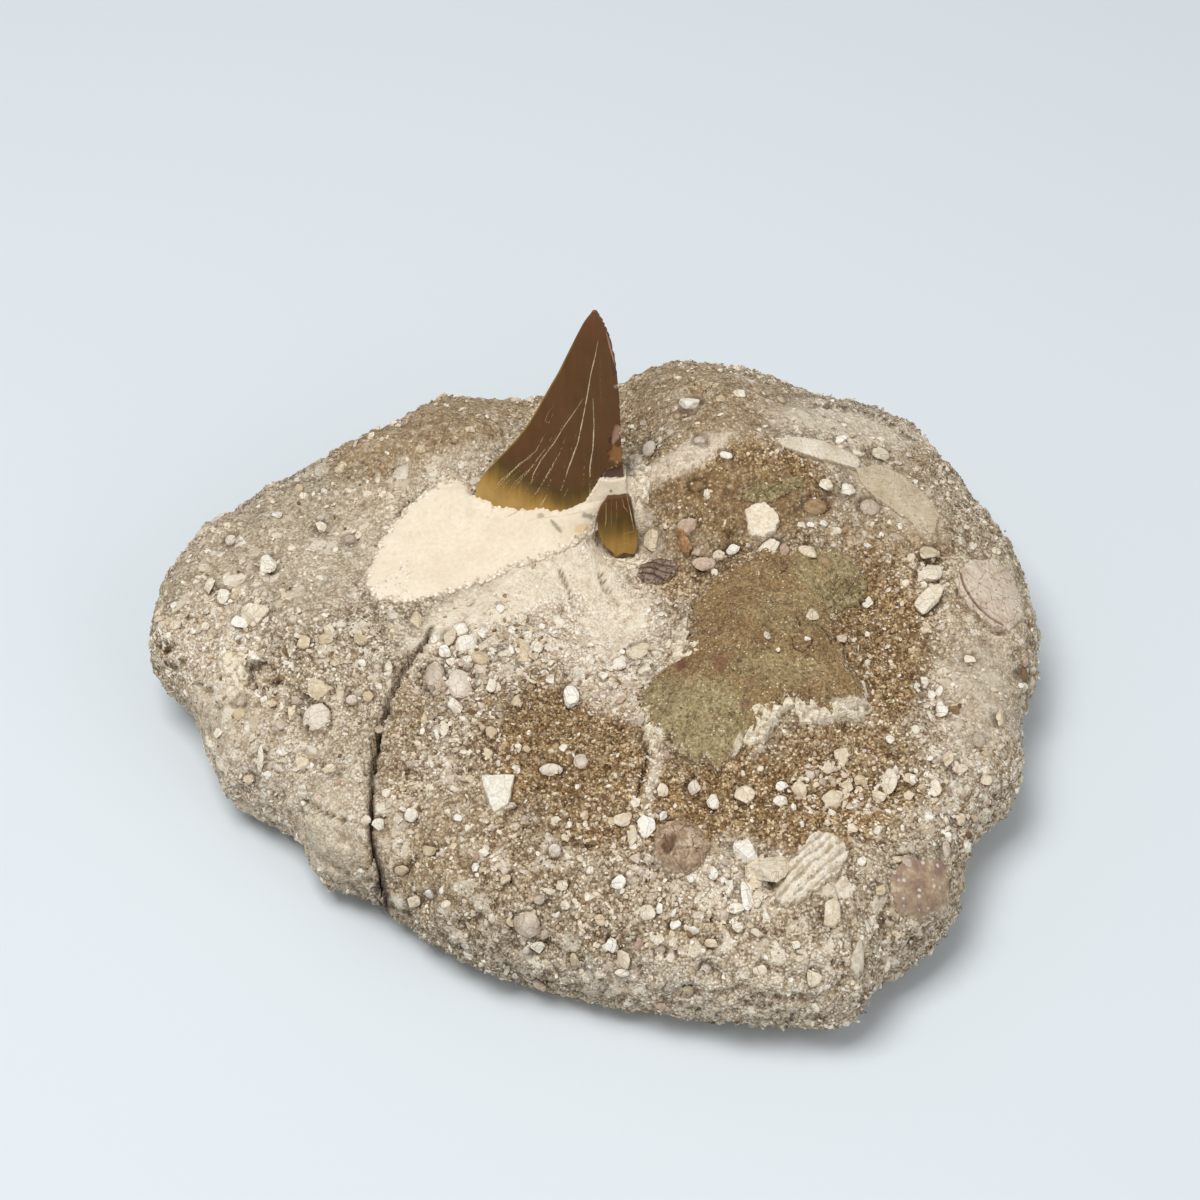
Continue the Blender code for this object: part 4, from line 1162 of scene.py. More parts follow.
def enamel_material():
    """Fossil enamel: glossy brown, amber where it thins, with pale cracks, and dull where it is chipped."""
    paint = new_material("fossil_enamel", 0.3)
    paint.shader.inputs["Specular IOR Level"].default_value = 0.35
    face = paint.node("Attribute", attribute_name="face")["Vector"]
    stretched = paint.node("Mapping", Vector=face, Scale=(1.0, 0.12, 1.0))[0]
    streak = paint.mottle(stretched, 0.9, 5.0)
    cloud = paint.mottle(face, 6.0, 3.0)
    amber = paint.plus(paint.own("amber"), paint.times(paint.less(streak, 0.5), 0.12))
    colour = paint.mix(paint.own("tip"), paint.ramp(amber, AMBER_TONES), (108, 68, 38))
    colour = paint.shade(colour, paint.mix(cloud, (228, 228, 228), WHITE))
    colour = paint.shade(colour, paint.mix(streak, (236, 236, 236), WHITE))
    marks = {"clear": (142, 100, 56), "dark": (92, 66, 56), "pink": (168, 132, 110), "crack": (232, 214, 170)}
    for mark, tone in marks.items():
        colour = paint.mix(paint.own(mark), colour, tone)
    rough = paint.sum("MAXIMUM", paint.span(cloud, 0.0, 1.0, 0.4, 0.24), paint.times(paint.own("crack"), 0.8))
    paint.give(paint.shader.inputs["Roughness"], rough)
    return paint.finish(colour, streak, 0.03, 0.5)


def mottled_material(name, tones, size, roughness, speck=None, crack=None, grit=0.12, dust=0.6, tint=0.0):
    """Bone, shell or stone: tones spread by mottling, with specks, fine cracks and sand at its edge.

    speck is a colour, a size and a share; crack a colour, a size and a width. The piece's values say where sand
    clings to it and where it lies in grooves, darkened there as painted shade. tint is how much its value tint
    shifts its tone.
    """
    paint = new_material(name, roughness)
    vector = paint.place()
    cloud = paint.mottle(vector, size, 5.0)
    if tint:
        cloud = paint.plus(cloud, paint.times(paint.less(paint.own("tint"), 0.5), tint))
    fine = paint.mottle(vector, 0.5, 3.0)
    colour = paint.shade(paint.ramp(cloud, tones), paint.mix(fine, (224, 218, 210), WHITE))
    if speck:
        colour = paint.mix(paint.use("specks", vector, Size=speck[1], Share=speck[2])[0], colour, speck[0])
    height = fine
    if crack:
        lines = paint.use("crackle", vector, Size=crack[1], Width=crack[2])[0]
        colour = paint.mix(lines, colour, crack[0])
        height = paint.less(height, lines)
    # Painted shade in the piece's grooves, cracks and hollows.
    colour = paint.shade(colour, (140, 110, 80), paint.times(paint.own("groove_shade"), 0.85))
    sand = paint.use("sand_grains", vector, Grain=0.5)["Color"]
    return paint.finish(paint.dusted(colour, sand, fine, 1.05, 1.3, dust), height, grit, 0.7)


def putty_material():
    """Restorer's putty: smooth cream, with pinholes, smears of sand, ochre stains and grey spots."""
    paint = new_material("cream_putty", 0.8)
    vector = paint.place()
    colour = paint.mix(paint.mottle(vector, 7.0, 4.0), (230, 214, 189), (242, 229, 208))
    fine = paint.mottle(vector, 0.7, 4.0)
    colour = paint.shade(colour, paint.mix(fine, (242, 238, 230), WHITE))
    holes = paint.use("specks", vector, Size=0.8, Share=0.05)[0]
    colour = paint.mix(holes, colour, (226, 208, 178))
    colour = paint.mix(paint.own("ochre"), colour, (214, 186, 140))
    colour = paint.mix(paint.own("grey"), colour, (150, 140, 118))
    sand = paint.use("sand_grains", vector, Grain=0.55, Cream=0.95)["Color"]
    colour = paint.dusted(colour, sand, fine, 1.05, 1.3, 0.9)
    return paint.finish(colour, paint.less(fine, holes), 0.08, 0.6)


def plate_material():
    """Weathered bone: brown above and olive below, granular, rusty in places and chalky at its lip."""
    paint = new_material("weathered_bone", 0.8)
    vector = paint.place()
    cloud = paint.mottle(vector, 5.0, 5.0)
    fine = paint.mottle(vector, 0.6, 3.0)
    brown = paint.mix(cloud, (136, 100, 48), (194, 158, 98))
    olive = paint.mix(cloud, (156, 142, 88), (214, 202, 152))
    colour = paint.mix(paint.own("olive"), brown, olive)
    rust = paint.span(paint.mottle(vector, 3.2, 3.0), 0.62, 0.95, 0.5)
    colour = paint.mix(rust, colour, (162, 112, 54))
    colour = paint.shade(colour, paint.mix(fine, (150, 134, 112), WHITE))
    grains = paint.use("sand_grains", vector, Grain=0.34, Stain=0.6)
    colour = paint.mix(0.3, colour, grains["Color"])
    colour = paint.dusted(colour, grains["Color"], fine, 0.95, 1.2, 0.85)
    pits = paint.use("specks", vector, Size=0.9, Share=0.12)[0]
    colour = paint.mix(paint.times(pits, 0.5), colour, (104, 80, 48))
    pale = paint.use("specks", vector, Size=0.38, Share=0.06)[0]
    colour = paint.mix(pale, colour, (222, 208, 174))
    aside = paint.node("Mapping", Vector=vector, Location=(0.01, 0.02, 0.03))[0]
    dark = paint.use("specks", aside, Size=0.45, Share=0.06)[0]
    colour = paint.mix(dark, colour, (96, 74, 48))
    colour = paint.mix(paint.own("red"), colour, (118, 74, 52))
    colour = paint.mix(paint.own("chalk"), colour, paint.mix(fine, (232, 213, 178), (254, 246, 228)))
    shaded_hollow = paint.own("shaded_hollow")
    # Painted shade in the plate's hollows and creases, and painted highlight on its raised crumbs.
    colour = paint.shade(colour, (128, 98, 62), paint.span(shaded_hollow, 0.5, 1.0, 0.75))
    colour = paint.mix(paint.span(shaded_hollow, 0.3, 0.0, 0.25), colour, (222, 198, 148))
    return paint.finish(colour, paint.plus(paint.less(fine, pits), grains["Height"]), 0.2, 0.8)


def grain_material():
    """Single grains of sand: each its own tone, browner where iron has stained them."""
    paint = new_material("sand_grain", 0.85)
    tint = paint.own("tint")
    clean, stained, creamy = (paint.ramp(tint, stops) for stops in GRAIN_TONES)
    colour = paint.mix(paint.own("stain"), clean, stained)
    colour = paint.mix(paint.own("cream"), colour, creamy)
    cloud = paint.mottle(paint.place(), 0.35, 2.0)
    colour = paint.shade(colour, paint.mix(cloud, (206, 200, 190), WHITE))
    return paint.finish(colour, cloud, 0.05, 0.5)


# Regions of the lump by picture place: middle across, middle down, half-width, half-height, turn in degrees,
# strength.
STAINED = (
    (560, 745, 100, 78, 0, 0.95), (610, 805, 90, 55, 0, 0.85), (735, 490, 112, 62, 10, 0.95),
    (868, 630, 58, 110, -12, 0.95), (775, 795, 150, 62, 0, 0.95), (700, 560, 70, 50, 0, 0.75),
    (480, 860, 120, 70, 10, 0.45), (905, 545, 50, 70, 0, 0.55), (640, 915, 160, 45, 0, 0.35),
    (400, 745, 26, 80, 10, 0.5), (840, 760, 90, 50, 0, 0.8), (430, 425, 110, 44, -15, 0.65),
    (690, 400, 110, 40, 10, 0.6), (640, 425, 22, 40, 0, 0.7), (900, 470, 70, 60, 35, 0.3),
    (985, 640, 50, 100, 0, 0.25),
)
CHALKY = (
    (600, 630, 62, 72, -20, 1.0), (560, 580, 90, 36, -15, 1.0), (480, 612, 100, 26, -22, 1.0),
    (895, 500, 56, 20, 38, 0.4), (634, 505, 12, 46, 0, 1.0), (652, 542, 12, 14, 0, 1.0),
    (620, 690, 45, 30, 0, 0.7), (470, 655, 70, 40, -15, 0.4), (740, 880, 60, 40, 0, 0.6),
    (845, 425, 95, 18, 12, 0.75), (680, 462, 66, 14, -28, 0.75), (655, 770, 6, 42, 10, 0.9),
    (290, 800, 110, 80, 20, 0.45), (980, 720, 45, 90, 0, 0.45), (720, 980, 170, 40, 0, 0.4),
    (220, 650, 45, 60, 0, 0.6), (440, 470, 50, 22, -20, 0.5), (340, 560, 60, 50, 0, 0.3),
)
# Where the surface is smeared smooth: plaster dust round the putty, and clay on the back of the plate.
SMEARED = (
    (585, 565, 52, 34, 30, 0.95), (505, 595, 96, 26, -24, 0.9), (895, 500, 56, 18, 38, 0.85),
    (610, 610, 34, 44, -10, 0.65), (634, 505, 13, 48, 0, 0.9), (652, 542, 11, 13, 0, 0.9),
    (735, 496, 92, 44, 10, 0.75), (700, 545, 44, 22, 0, 0.6), (680, 460, 66, 14, -28, 0.7),
    (845, 425, 80, 12, 12, 0.6), (985, 690, 34, 60, 0, 0.5), (215, 720, 36, 40, 0, 0.5),
    (330, 840, 30, 50, -20, 0.5),
)
# Where the sand is fine and even.
FINE_GRAINED = (
    (300, 545, 150, 70, -25, 0.9), (430, 430, 100, 50, -15, 1.0), (710, 405, 110, 40, 10, 0.8),
    (880, 500, 70, 60, 30, 0.6), (985, 640, 60, 110, 0, 0.6), (330, 820, 70, 90, 30, 0.5),
    (240, 720, 60, 60, 0, 0.5), (430, 850, 60, 80, 0, 0.4),
)
# Where many stones lie.
PEBBLY = (
    (500, 650, 66, 48, -10, 1.0), (740, 890, 36, 50, 0, 1.0), (655, 850, 40, 50, 0, 0.7),
    (850, 790, 60, 34, 0, 0.7), (250, 640, 90, 70, 20, 0.8), (620, 690, 40, 30, 0, 0.8),
    (930, 600, 22, 50, 0, 0.6), (600, 920, 110, 40, 0, 0.5), (440, 780, 60, 90, 0, 0.4),
    (960, 780, 60, 80, 0, 0.5),
)
# The regions by name, each with the seed of its ragged edge.
REGIONS = {
    "stain": (STAINED, 41.0),
    "cream": (CHALKY, 57.0),
    "smear": (SMEARED, 77.0),
    "fine": (FINE_GRAINED, 91.0),
    "pebbles": (PEBBLY, 83.0),
}


def region_weight(points, facing, name):
    """How much each point belongs to some regions: soft, ragged ellipses in the picture."""
    regions, seed = REGIONS[name]
    across, down = picture_place(points)
    ragged = 0.28 * noise_at(points, 6.0, seed) + 0.14 * noise_at(points, 2.0, seed + 9)
    weight = np.zeros(across.shape)
    for *ellipse, strength in regions:
        away = ellipse_share(across, down, *ellipse) + ragged
        weight = np.maximum(weight, strength * smooth_step(1.25, 0.6, away))
    return weight * facing


def crack_wedge():
    """The wedge that cuts the crack: a wall along its path with ragged sides, wide above and narrow below."""
    stations = 280
    bm = bmesh.new()
    bmesh.ops.create_cube(bm, size=1)
    along = [edge for edge in bm.edges if abs(edge.verts[0].co.x - edge.verts[1].co.x) > 0.5]
    bmesh.ops.subdivide_edges(bm, edges=along, cuts=stations - 1, use_grid_fill=True)
    path = np.array(CRACK)
    for vert in bm.verts:
        share = (vert.co.x + 0.5) * (len(CRACK) - 1)
        x, y, width = (float(np.interp(share, range(len(CRACK)), column)) for column in path.T)
        low = min(int(share), len(CRACK) - 2)
        ahead = Vector(path[low + 1][:2] - path[low][:2]).normalized()
        top = vert.co.z > 0
        side = math.copysign(1, vert.co.y)
        jag = noise.fractal(Vector((share * 2.3, side * 5, 2)), 0.6, 2.1, 5)
        sway = 0.6 * noise.fractal(Vector((share * 1.6, 7, 4)), 0.8, 2.1, 3)
        half = max(width * (0.5 + 0.6 * jag), 0.1) * (CRACK_OPENING if top else 0.15)
        aside = Vector((-ahead.y, ahead.x)) * (half * side + sway)
        vert.co = Vector((x + aside.x, y + aside.y, CRACK_TOP if top else CRACK_BOTTOM))
    bmesh.ops.recalc_face_normals(bm, faces=bm.faces)
    return bm


def make_lump(ground):
    """The lump of sandstone, its ground roughened and its crack cut, with its stains and painted shade on its
    vertices.
    """
    points, ring, inlaid, _ = ground
    rough, shaded_hollow = roughen(points, ring, inlaid)
    bm = make_bm_sheet(rough)
    close_underneath(bm)
    holder = plain_object("uncut_lump", bm)
    wedge = plain_object("crack_wedge", crack_wedge())
    cut = holder.modifiers.new("crack", "BOOLEAN")
    cut.operation = "DIFFERENCE"
    cut.solver = "EXACT"
    cut.object = wedge
    whole = holder.evaluated_get(bpy.context.evaluated_depsgraph_get()).to_mesh()
    bm = bmesh.new()
    bm.from_mesh(whole)
    for spare in (holder, wedge):
        mesh = spare.data
        bpy.data.objects.remove(spare)
        bpy.data.meshes.remove(mesh)
    places = np.array([vert.co for vert in bm.verts])
    bm.normal_update()
    facing = facing_camera(np.array([vert.normal for vert in bm.verts]))
    crack = distance_to_path(places, CRACK)
    finder = KDTree(shaded_hollow.size)
    for index, point in enumerate(rough.reshape(-1, 3)):
        finder.insert(point, index)
    finder.balance()
    nearest = [finder.find(place)[1] for place in places]
    attributes = {
        # Painted shade and highlight by how far the ground lies below its surroundings.
        "shaded_hollow": 0.5 + 0.5 * shaded_hollow.ravel()[nearest],
        "stain": region_weight(places, facing, "stain"),
        "cream": region_weight(places, facing, "cream"),
        "smear": region_weight(places, facing, "smear"),
        "fine": np.maximum(region_weight(places, facing, "fine"), 1 - facing),
        # Painted shade in the crack, the creases and the gaps round the larger stones.
        "crevice_shade": np.maximum(
            0.8 * smooth_step(0.8, 0.2, crack[0]) * (places[:, 2] > 1.0),
            facing * np.maximum(0.85 * creases_at(places, 0.35), 0.5 * sockets_at(places)),
        ),
    }
    keep("sandstone_lump", bm, sandstone_material(), "matrix", attributes)
    return rough


def plain_object(name, bm):
    """An object with a mesh as it is, without a material."""
    mesh = bpy.data.meshes.new(name)
    bm.to_mesh(mesh)
    bm.free()
    made = bpy.data.objects.new(name, mesh)
    bpy.context.scene.collection.objects.link(made)
    return made


# The inlaid pieces

# Where a draped piece has its middle, by node.
SEATS = {
    "putty_fill": (-18.3, 23.2), "bone_plate": (25.6, -5.2), "scale_fragment": (31.5, -42.7),
    "ribbed_boss": (12.3, -39.1), "pale_disc": (26.1, 21.6), "shell_wedge": (-15.3, -28.5),
    "small_tooth": (13.7, 21.0), "bone_chip": (9.3, 17.3), "cream_bone_strip": (36.7, 35.5),
    "tan_bone_strip": (50.2, 27.9), "pink_nodule": (63.7, 13.0), "purple_nodule": (49.3, -42.8),
    "pale_blade": (38.4, -55.0),
}
# The ochre stains and the grey spots on the putty: pixel, half-width, half-height, turn, strength.
OCHRE_STAINS = (
    (583, 529, 9, 5, 0, 0.8), (598, 548, 16, 13, 30, 0.55), (541, 516, 4, 3, 0, 0.5),
    (600, 575, 14, 16, 0, 0.5),
)
SANDY_PUTTY = ((470, 606, 66, 13, -16, 0.62), (560, 566, 50, 20, -28, 0.55), (392, 590, 16, 40, 30, 0.5))
GREY_SPOTS = (
    (611, 491, 2, 2, 0, 1.0), (585, 515, 3.5, 3.5, 0, 0.9), (592, 516, 4, 3.5, 0, 0.9),
    (541, 516, 3, 3, 0, 0.6), (556, 526, 2, 8, -40, 0.9),
)
# The same on the bone plate: where it is olive, where rusty red and where chalky.
OLIVE_PARTS = (
    (690, 722, 66, 46, 0, 1.0), (775, 668, 50, 20, 0, 0.55), (830, 560, 40, 40, 0, 0.8),
    (790, 610, 40, 24, 0, 0.4),
)
RED_SPOTS = ((681, 665, 5, 6, 0, 0.9), (720, 662, 8, 9, 0, 0.7), (745, 705, 6, 6, 0, 0.5))
CHALK_PARTS = (
    (668, 640, 5, 22, 20, 0.8), (850, 704, 18, 8, 0, 0.7), (655, 737, 7, 10, 0, 0.8),
    (738, 745, 4, 12, 20, 0.6),
)
# Crusts that stand on the plate's edges: outline as it is seen, how proud they stand, and their kind.
CRUSTS = (
    (
        (
            (742, 748), (746, 728), (752, 712), (758, 700), (772, 694), (786, 688), (800, 690), (804, 702),
            (790, 708), (780, 716), (774, 728), (764, 740), (752, 750),
        ),
        1.0, "chalk",
    ),
    (
        (
            (794, 716), (798, 700), (812, 696), (824, 692), (836, 687), (850, 684), (864, 684), (870, 696),
            (869, 712), (858, 720), (842, 720), (828, 725), (812, 726), (800, 723),
        ),
        1.2, "chalk",
    ),
    (
        (
            (670, 662), (674, 644), (678, 626), (686, 620), (689, 632), (686, 648), (694, 656), (684, 665),
            (674, 667),
        ),
        0.8, "chalk",
    ),
    (((688, 646), (698, 640), (707, 643), (708, 650), (698, 656), (691, 654)), 0.8, "chalk"),
    (((646, 724), (660, 725), (667, 736), (660, 748), (651, 752), (645, 740)), 0.8, "chalk"),
    (((641, 708), (650, 704), (652, 716), (646, 724)), 0.6, "chalk"),
    (
        (
            (811, 590), (816, 572), (826, 562), (842, 564), (858, 572), (868, 584), (864, 600), (850, 608),
            (832, 614), (818, 606),
        ),
        0.7, "olive",
    ),
    (((738, 498), (750, 484), (768, 480), (786, 488), (780, 500), (760, 505)), 0.25, "olive"),
    (((780, 485), (790, 476), (802, 478), (800, 490), (788, 493)), 0.5, "olive"),
    (((632, 497), (640, 499), (646, 520), (649, 545), (642, 557), (638, 540), (635, 515)), 0.5, "chalk"),
    (((604, 557), (622, 559), (640, 554), (650, 561), (636, 569), (616, 567)), 0.4, "chalk"),
    (((630, 458), (640, 455), (648, 470), (650, 490), (646, 499), (635, 496), (631, 480)), 0.4, "chalk"),
    (
        ((218, 655), (228, 648), (240, 655), (246, 672), (244, 690), (236, 702), (226, 696), (220, 676)),
        0.7, "chalk",
    ),
)


def spots_at(points, spots, soft=0.25):
    """How much each point lies on some spots given by their pixels."""
    across, down = picture_place(points)
    ragged = soft * noise_at(points, 1.5, 71.0)
    weight = np.zeros(across.shape)
    for *ellipse, strength in spots:
        away = ellipse_share(across, down, *ellipse) + ragged
        weight = np.maximum(weight, strength * smooth_step(1.2, 0.75, away))
    return weight


def dust_at(parts, reach=0.8):
    """How much sand clings to a piece: all of it at its edge, none further in than a reach."""
    return 1.0 - np.minimum(parts["inward"] / reach, 1)


def make_putty(tree):
    """The putty: a smooth lens drawn up against the crown's foot, with the strip that fills the break."""
    seat = seat_on(tree, *SEATS["putty_fill"], 6.0)
    bm, parts = draped(
        tree, seat, lambda bearing: node_reach("putty_fill", seat, bearing) + 0.8, 120, 420, 0.25, 2.5, 0.8, 1.0
    )
    flat = in_space(seat, parts["x"], parts["y"], 0 * parts["x"])
    swell = 0.16 * noise_at(flat, 5.0, 4.0) + 0.06 * noise_at(flat, 1.4, 9.0, 2)
    points = settle(bm, seat, parts, swell)
    across, level, teeth = foot_line_at(points[:, 0] - TOOTH_FOOT.x)
    front = lens_depths(across, level)[0]
    line = face_points(across, level, front)
    ahead = line[:, 1] - points[:, 1]
    climb = np.exp(-((np.maximum(ahead, 0) / 2.4) ** 2)) * smooth_step(-1.2, -0.3, ahead)
    aside = points[:, 0] - TOOTH_FOOT.x
    beside = smooth_step(-15.0, -13.0, aside) * smooth_step(9.0, 7.6, aside)
    top = parts["drop"] == 0
    lift = np.maximum(line[:, 2] - points[:, 2], -0.6) * climb * beside * top
    lift += teeth * smooth_step(0.9, 0.1, np.abs(ahead)) * beside * top
    points[:, 2] += lift
    points[:, 2] -= 1.5 * smooth_step(-0.8, -2.5, ahead) * beside * top
    move_to(bm, points)
    bridge, across, height, _, depth = disc_on_face(BRIDGE_LINE, BRIDGE_STEP, 60, 240, 0.2, 3.2)
    wave = 0.1 * noise_at(flat_points(across, height), 1.5, 6.0)
    bridge_points = face_points(across, height, depth + wave)
    move_to(bridge, bridge_points)
    bmesh.ops.recalc_face_normals(bridge, faces=bridge.faces)
    everything = np.concatenate([points, bridge_points])
    dust = np.maximum(dust_at(parts, 2.2), spots_at(points, SANDY_PUTTY))
    dust = np.concatenate([dust, 0 * depth])
    attributes = {
        "ochre": spots_at(everything, OCHRE_STAINS),
        "grey": spots_at(everything, GREY_SPOTS),
        "dust": dust,
    }
    keep("putty", joined([bm, bridge]), putty_material(), "putty_fill", attributes)


def foot_line_at(across):
    """The line where the putty closes on the crown: place across, height, and its small teeth."""
    places, levels = np.array(FOOT_LINE).T
    teeth = 0.45 * noise_at(flat_points(across, 0 * across), 0.8, 6.0, 3)
    return across, np.interp(across, places, levels), teeth


# Fine cracks in the bone plate as they are seen.
PLATE_CREASES = (
    ((779, 557), (787, 566), (786, 572), (780, 575)),
    ((826, 560), (834, 568), (838, 580), (850, 588), (864, 592)),
    ((838, 580), (832, 590), (836, 600), (828, 610)), ((852, 588), (848, 600), (838, 608)),
    ((792, 640), (794, 650), (802, 655), (811, 651), (813, 643)), ((786, 612), (796, 618), (800, 628)),
    ((816, 628), (826, 634), (832, 646)),
)
# The swells of the bone plate from its seat: x, y, rise, half-width, half-depth.
PLATE_LIFTS = (
    (13, -8, 1.6, 5, 4), (4, -8, 1.0, 5, 3), (7.8, -0.6, 1.5, 1.5, 1.5), (-6, -3, 0.7, 3, 2),
    (-2, 6, 0.6, 4, 3), (-12, -10, 0.5, 6, 6),
)


def make_bone_plate(tree):
    """The bone plate: granular, with a round knob, its front right edge lifted."""
    seat = seat_on(tree, *SEATS["bone_plate"], 6.0)
    bm, parts = draped(
        tree, seat, lambda bearing: node_reach("bone_plate", seat, bearing), 130, 460, 0.45, 0.45, 1.7, 2.0
    )
    x, y = parts["x"], parts["y"]
    relief = 0 * x
    for middle_x, middle_y, rise, half_x, half_y in PLATE_LIFTS:
        relief += rise * np.exp(-(((x - middle_x) / half_x) ** 2) - ((y - middle_y) / half_y) ** 2)
    flat = flat_points(x, y)
    broken = np.abs(noise_at(flat, 2.8, 15.0, 4))
    crumbs = noise_at(flat, 0.7, 19.0, 3)
    layers = np.round(2.6 * noise_at(flat, 6.0, 25.0, 3)) / 2.6
    relief += 0.4 * noise_at(flat, 4.5, 12.0, 2) - 0.4 * broken + 0.18 * crumbs + 0.4 * layers + 0.15
    creases = creases_at(in_space(seat, x, y, parts["ground"]), 0.2, PLATE_CREASES)
    points = settle(bm, seat, parts, relief - 0.4 * creases)
    attributes = {
        # Deep where the plate is broken, creased or low between crumbs: for painted shade and highlight.
        "shaded_hollow": np.clip(0.35 + 0.5 * (broken - 0.25) - 0.35 * crumbs + 0.7 * creases, 0, 1),
        "dust": dust_at(parts, 2.0),
        "olive": spots_at(points, OLIVE_PARTS),
        "red": spots_at(points, RED_SPOTS),
        "chalk": spots_at(points, CHALK_PARTS, 0.5),
    }
    material = plate_material()
    plate = keep("bone_plate_crust", bm, material, "bone_plate", attributes)
    make_crusts(tree, material)
    return plate


def make_crusts(tree, material):
    """The crumbly crusts at the plate's edges, joined as one piece."""
    crusts = []
    kinds = []
    shaded_hollows = []
    for number, (outline, proud, kind) in enumerate(CRUSTS):
        middle = sum(seen_corners(tree, outline), Vector()) / len(outline)
        seat = seat_on(tree, middle.x, middle.y, 1.0)
        flat = flat_outline(tree, seat, outline)
        bm, parts = draped(
            tree, seat, lambda bearing: outline_reach(flat, bearing), 44, 160, proud, 1.2, 1.1, number
        )
        local = np.stack([parts["x"], parts["y"], parts["height"]], -1) + 9.0 * number
        lumps = cell_relief(local + 0.5 * noise_at(local, 1.0, 4.0)[:, None], 1.7, 5.0)
        crumbs = noise_at(local, 0.6, 2.0, 3)
        relief = 0.5 * noise_at(local, 2.2, 2.0, 2) + 0.6 * lumps + 0.3 * crumbs - 0.35
        points = settle(bm, seat, parts, relief * min(1.0, 1.3 * proud))
        outward = points - points.mean(0)
        outward /= np.linalg.norm(outward, axis=1, keepdims=True)
        wall = (0.7 * noise_at(points, 1.1, 31.0, 3) * smooth_step(0, 0.3, parts["drop"]))[:, None]
        move_to(bm, points + outward * wall)
        kinds += [kind] * len(bm.verts)
        # Low between the lumps for painted shade, on them for painted highlight.
        shaded_hollows.append(np.clip(0.85 - 0.8 * lumps - 0.3 * crumbs, 0, 1))
        crusts.append(bm)
    chalk = np.array([kind == "chalk" for kind in kinds], float)
    values = {"chalk": chalk, "olive": 1 - chalk, "red": 0 * chalk, "shaded_hollow": np.concatenate(shaded_hollows)}
    piece = keep("plate_edge_crusts", joined(crusts), material, None, values)


def seen_corners(tree, pixels):
    """Where the ground is seen at some pixels."""
    return [tree.ray_cast(CAMERA_PLACE, picture_ray(*pixel))[0] for pixel in pixels]


def flat_outline(tree, seat, pixels):
    """An outline as it is seen, in a seat's frame."""
    inverse = seat.inverted()
    return [tuple((inverse @ corner).xy) for corner in seen_corners(tree, pixels)]


# Outlines as they are seen, finer than their solids'.
OUTLINES = {
    "shell_wedge": (
        (481, 776), (498, 775), (515, 775), (512, 790), (509, 805), (494, 814), (488, 803), (484, 790),
    ),
    "cream_bone_strip": (
        (774, 438), (800, 437), (824, 441), (848, 451), (863, 462), (856, 468), (836, 463), (808, 455),
        (784, 447),
    ),
    "tan_bone_strip": (
        (856, 468), (880, 464), (904, 476), (928, 496), (940, 516), (935, 534), (916, 527), (896, 512),
        (876, 498), (860, 482),
    ),
}


def make_inlay(tree, node, name, material, proud, rounding, ragged, relief_of=None, rings=44, sides=200):
    """A small piece laid in the ground: relief_of gives its relief and where it lies in grooves, for painted
    shade, at x and y.
    """
    seat = seat_on(tree, *SEATS[node])
    flat = flat_outline(tree, seat, OUTLINES[node]) if node in OUTLINES else None

    def reach_of(bearing):
        return outline_reach(flat, bearing) if flat else node_reach(node, seat, bearing)

    bm, parts = draped(tree, seat, reach_of, rings, sides, proud, rounding, ragged, len(name))
    x, y = parts["x"], parts["y"]
    relief, groove_shade = relief_of(x, y) if relief_of else (0 * x, 0 * x)
    flat = flat_points(x, y)
    relief = relief + 0.1 * noise_at(flat, 1.3, 7.0, 2) + 0.05 * noise_at(flat, 0.45, 8.0)
    settle(bm, seat, parts, relief)
    keep(name, bm, material, node, {"dust": dust_at(parts, 0.5), "groove_shade": groove_shade})


def fragment_relief(x, y):
    """Ribs that run along the pale fragment, uneven and broken across."""
    across = (x - y) / math.sqrt(2)
    flat = flat_points(x, y)
    across = across + 0.35 * noise_at(flat, 2.4, 5.0)
    wave = 0.5 + 0.5 * np.sin(4.6 * across)
    broken = noise_at(flat, 1.1, 3.0, 2)
    relief = 0.5 * wave + 0.35 * broken - 0.25
    return relief, 0.6 * smooth_step(0.35, 0.05, wave + 0.4 * broken)


def boss_relief(x, y):
    """The low dome of the boss, with ribs out from its middle and cracks between them."""
    reach = np.hypot(x, y)
    flat = flat_points(x, y)
    turn = np.arctan2(y, x + 1.4) + 0.9 * noise_at(flat, 2.4, 2.0, 3)
    wave = np.abs(np.sin(4.5 * turn))
    relief = 1.3 * (1 - (reach / 4.6) ** 2) + 0.3 * wave + 0.3 * noise_at(flat, 1.2, 9.0, 3)
    shaded_hollow = smooth_step(1.3, 0.6, np.hypot((x + 2.0) / 1.1, (y + 0.5) / 1.5))
    crack = smooth_step(0.2, 0.06, wave) * smooth_step(0.6, 2.0, reach) * (x > -1.5)
    return relief - 0.7 * shaded_hollow - 0.3 * crack, np.maximum(shaded_hollow, 0.6 * crack)


def nodule_relief(x, y):
    """A smooth nodule with a curved crack round its left side."""
    away = np.abs(np.hypot(x - 2.0, (y - 2.6) * 0.8) - 7.0)
    inside = (x < 1.5) & (y < 2.5)
    crack = smooth_step(0.3, 0.12, away) * inside
    flat = flat_points(x, y)
    return 0.2 * noise_at(flat, 2.5, 1.0) - 0.4 * crack, crack


def striped_relief(x, y):
    """Fine stripes, as on split bone."""
    wave = 0.5 + 0.5 * np.sin(5.0 * (y + 0.35 * x) + 1.5 * np.sin(x))
    return 0.15 * wave, smooth_step(0.3, 0.1, wave)


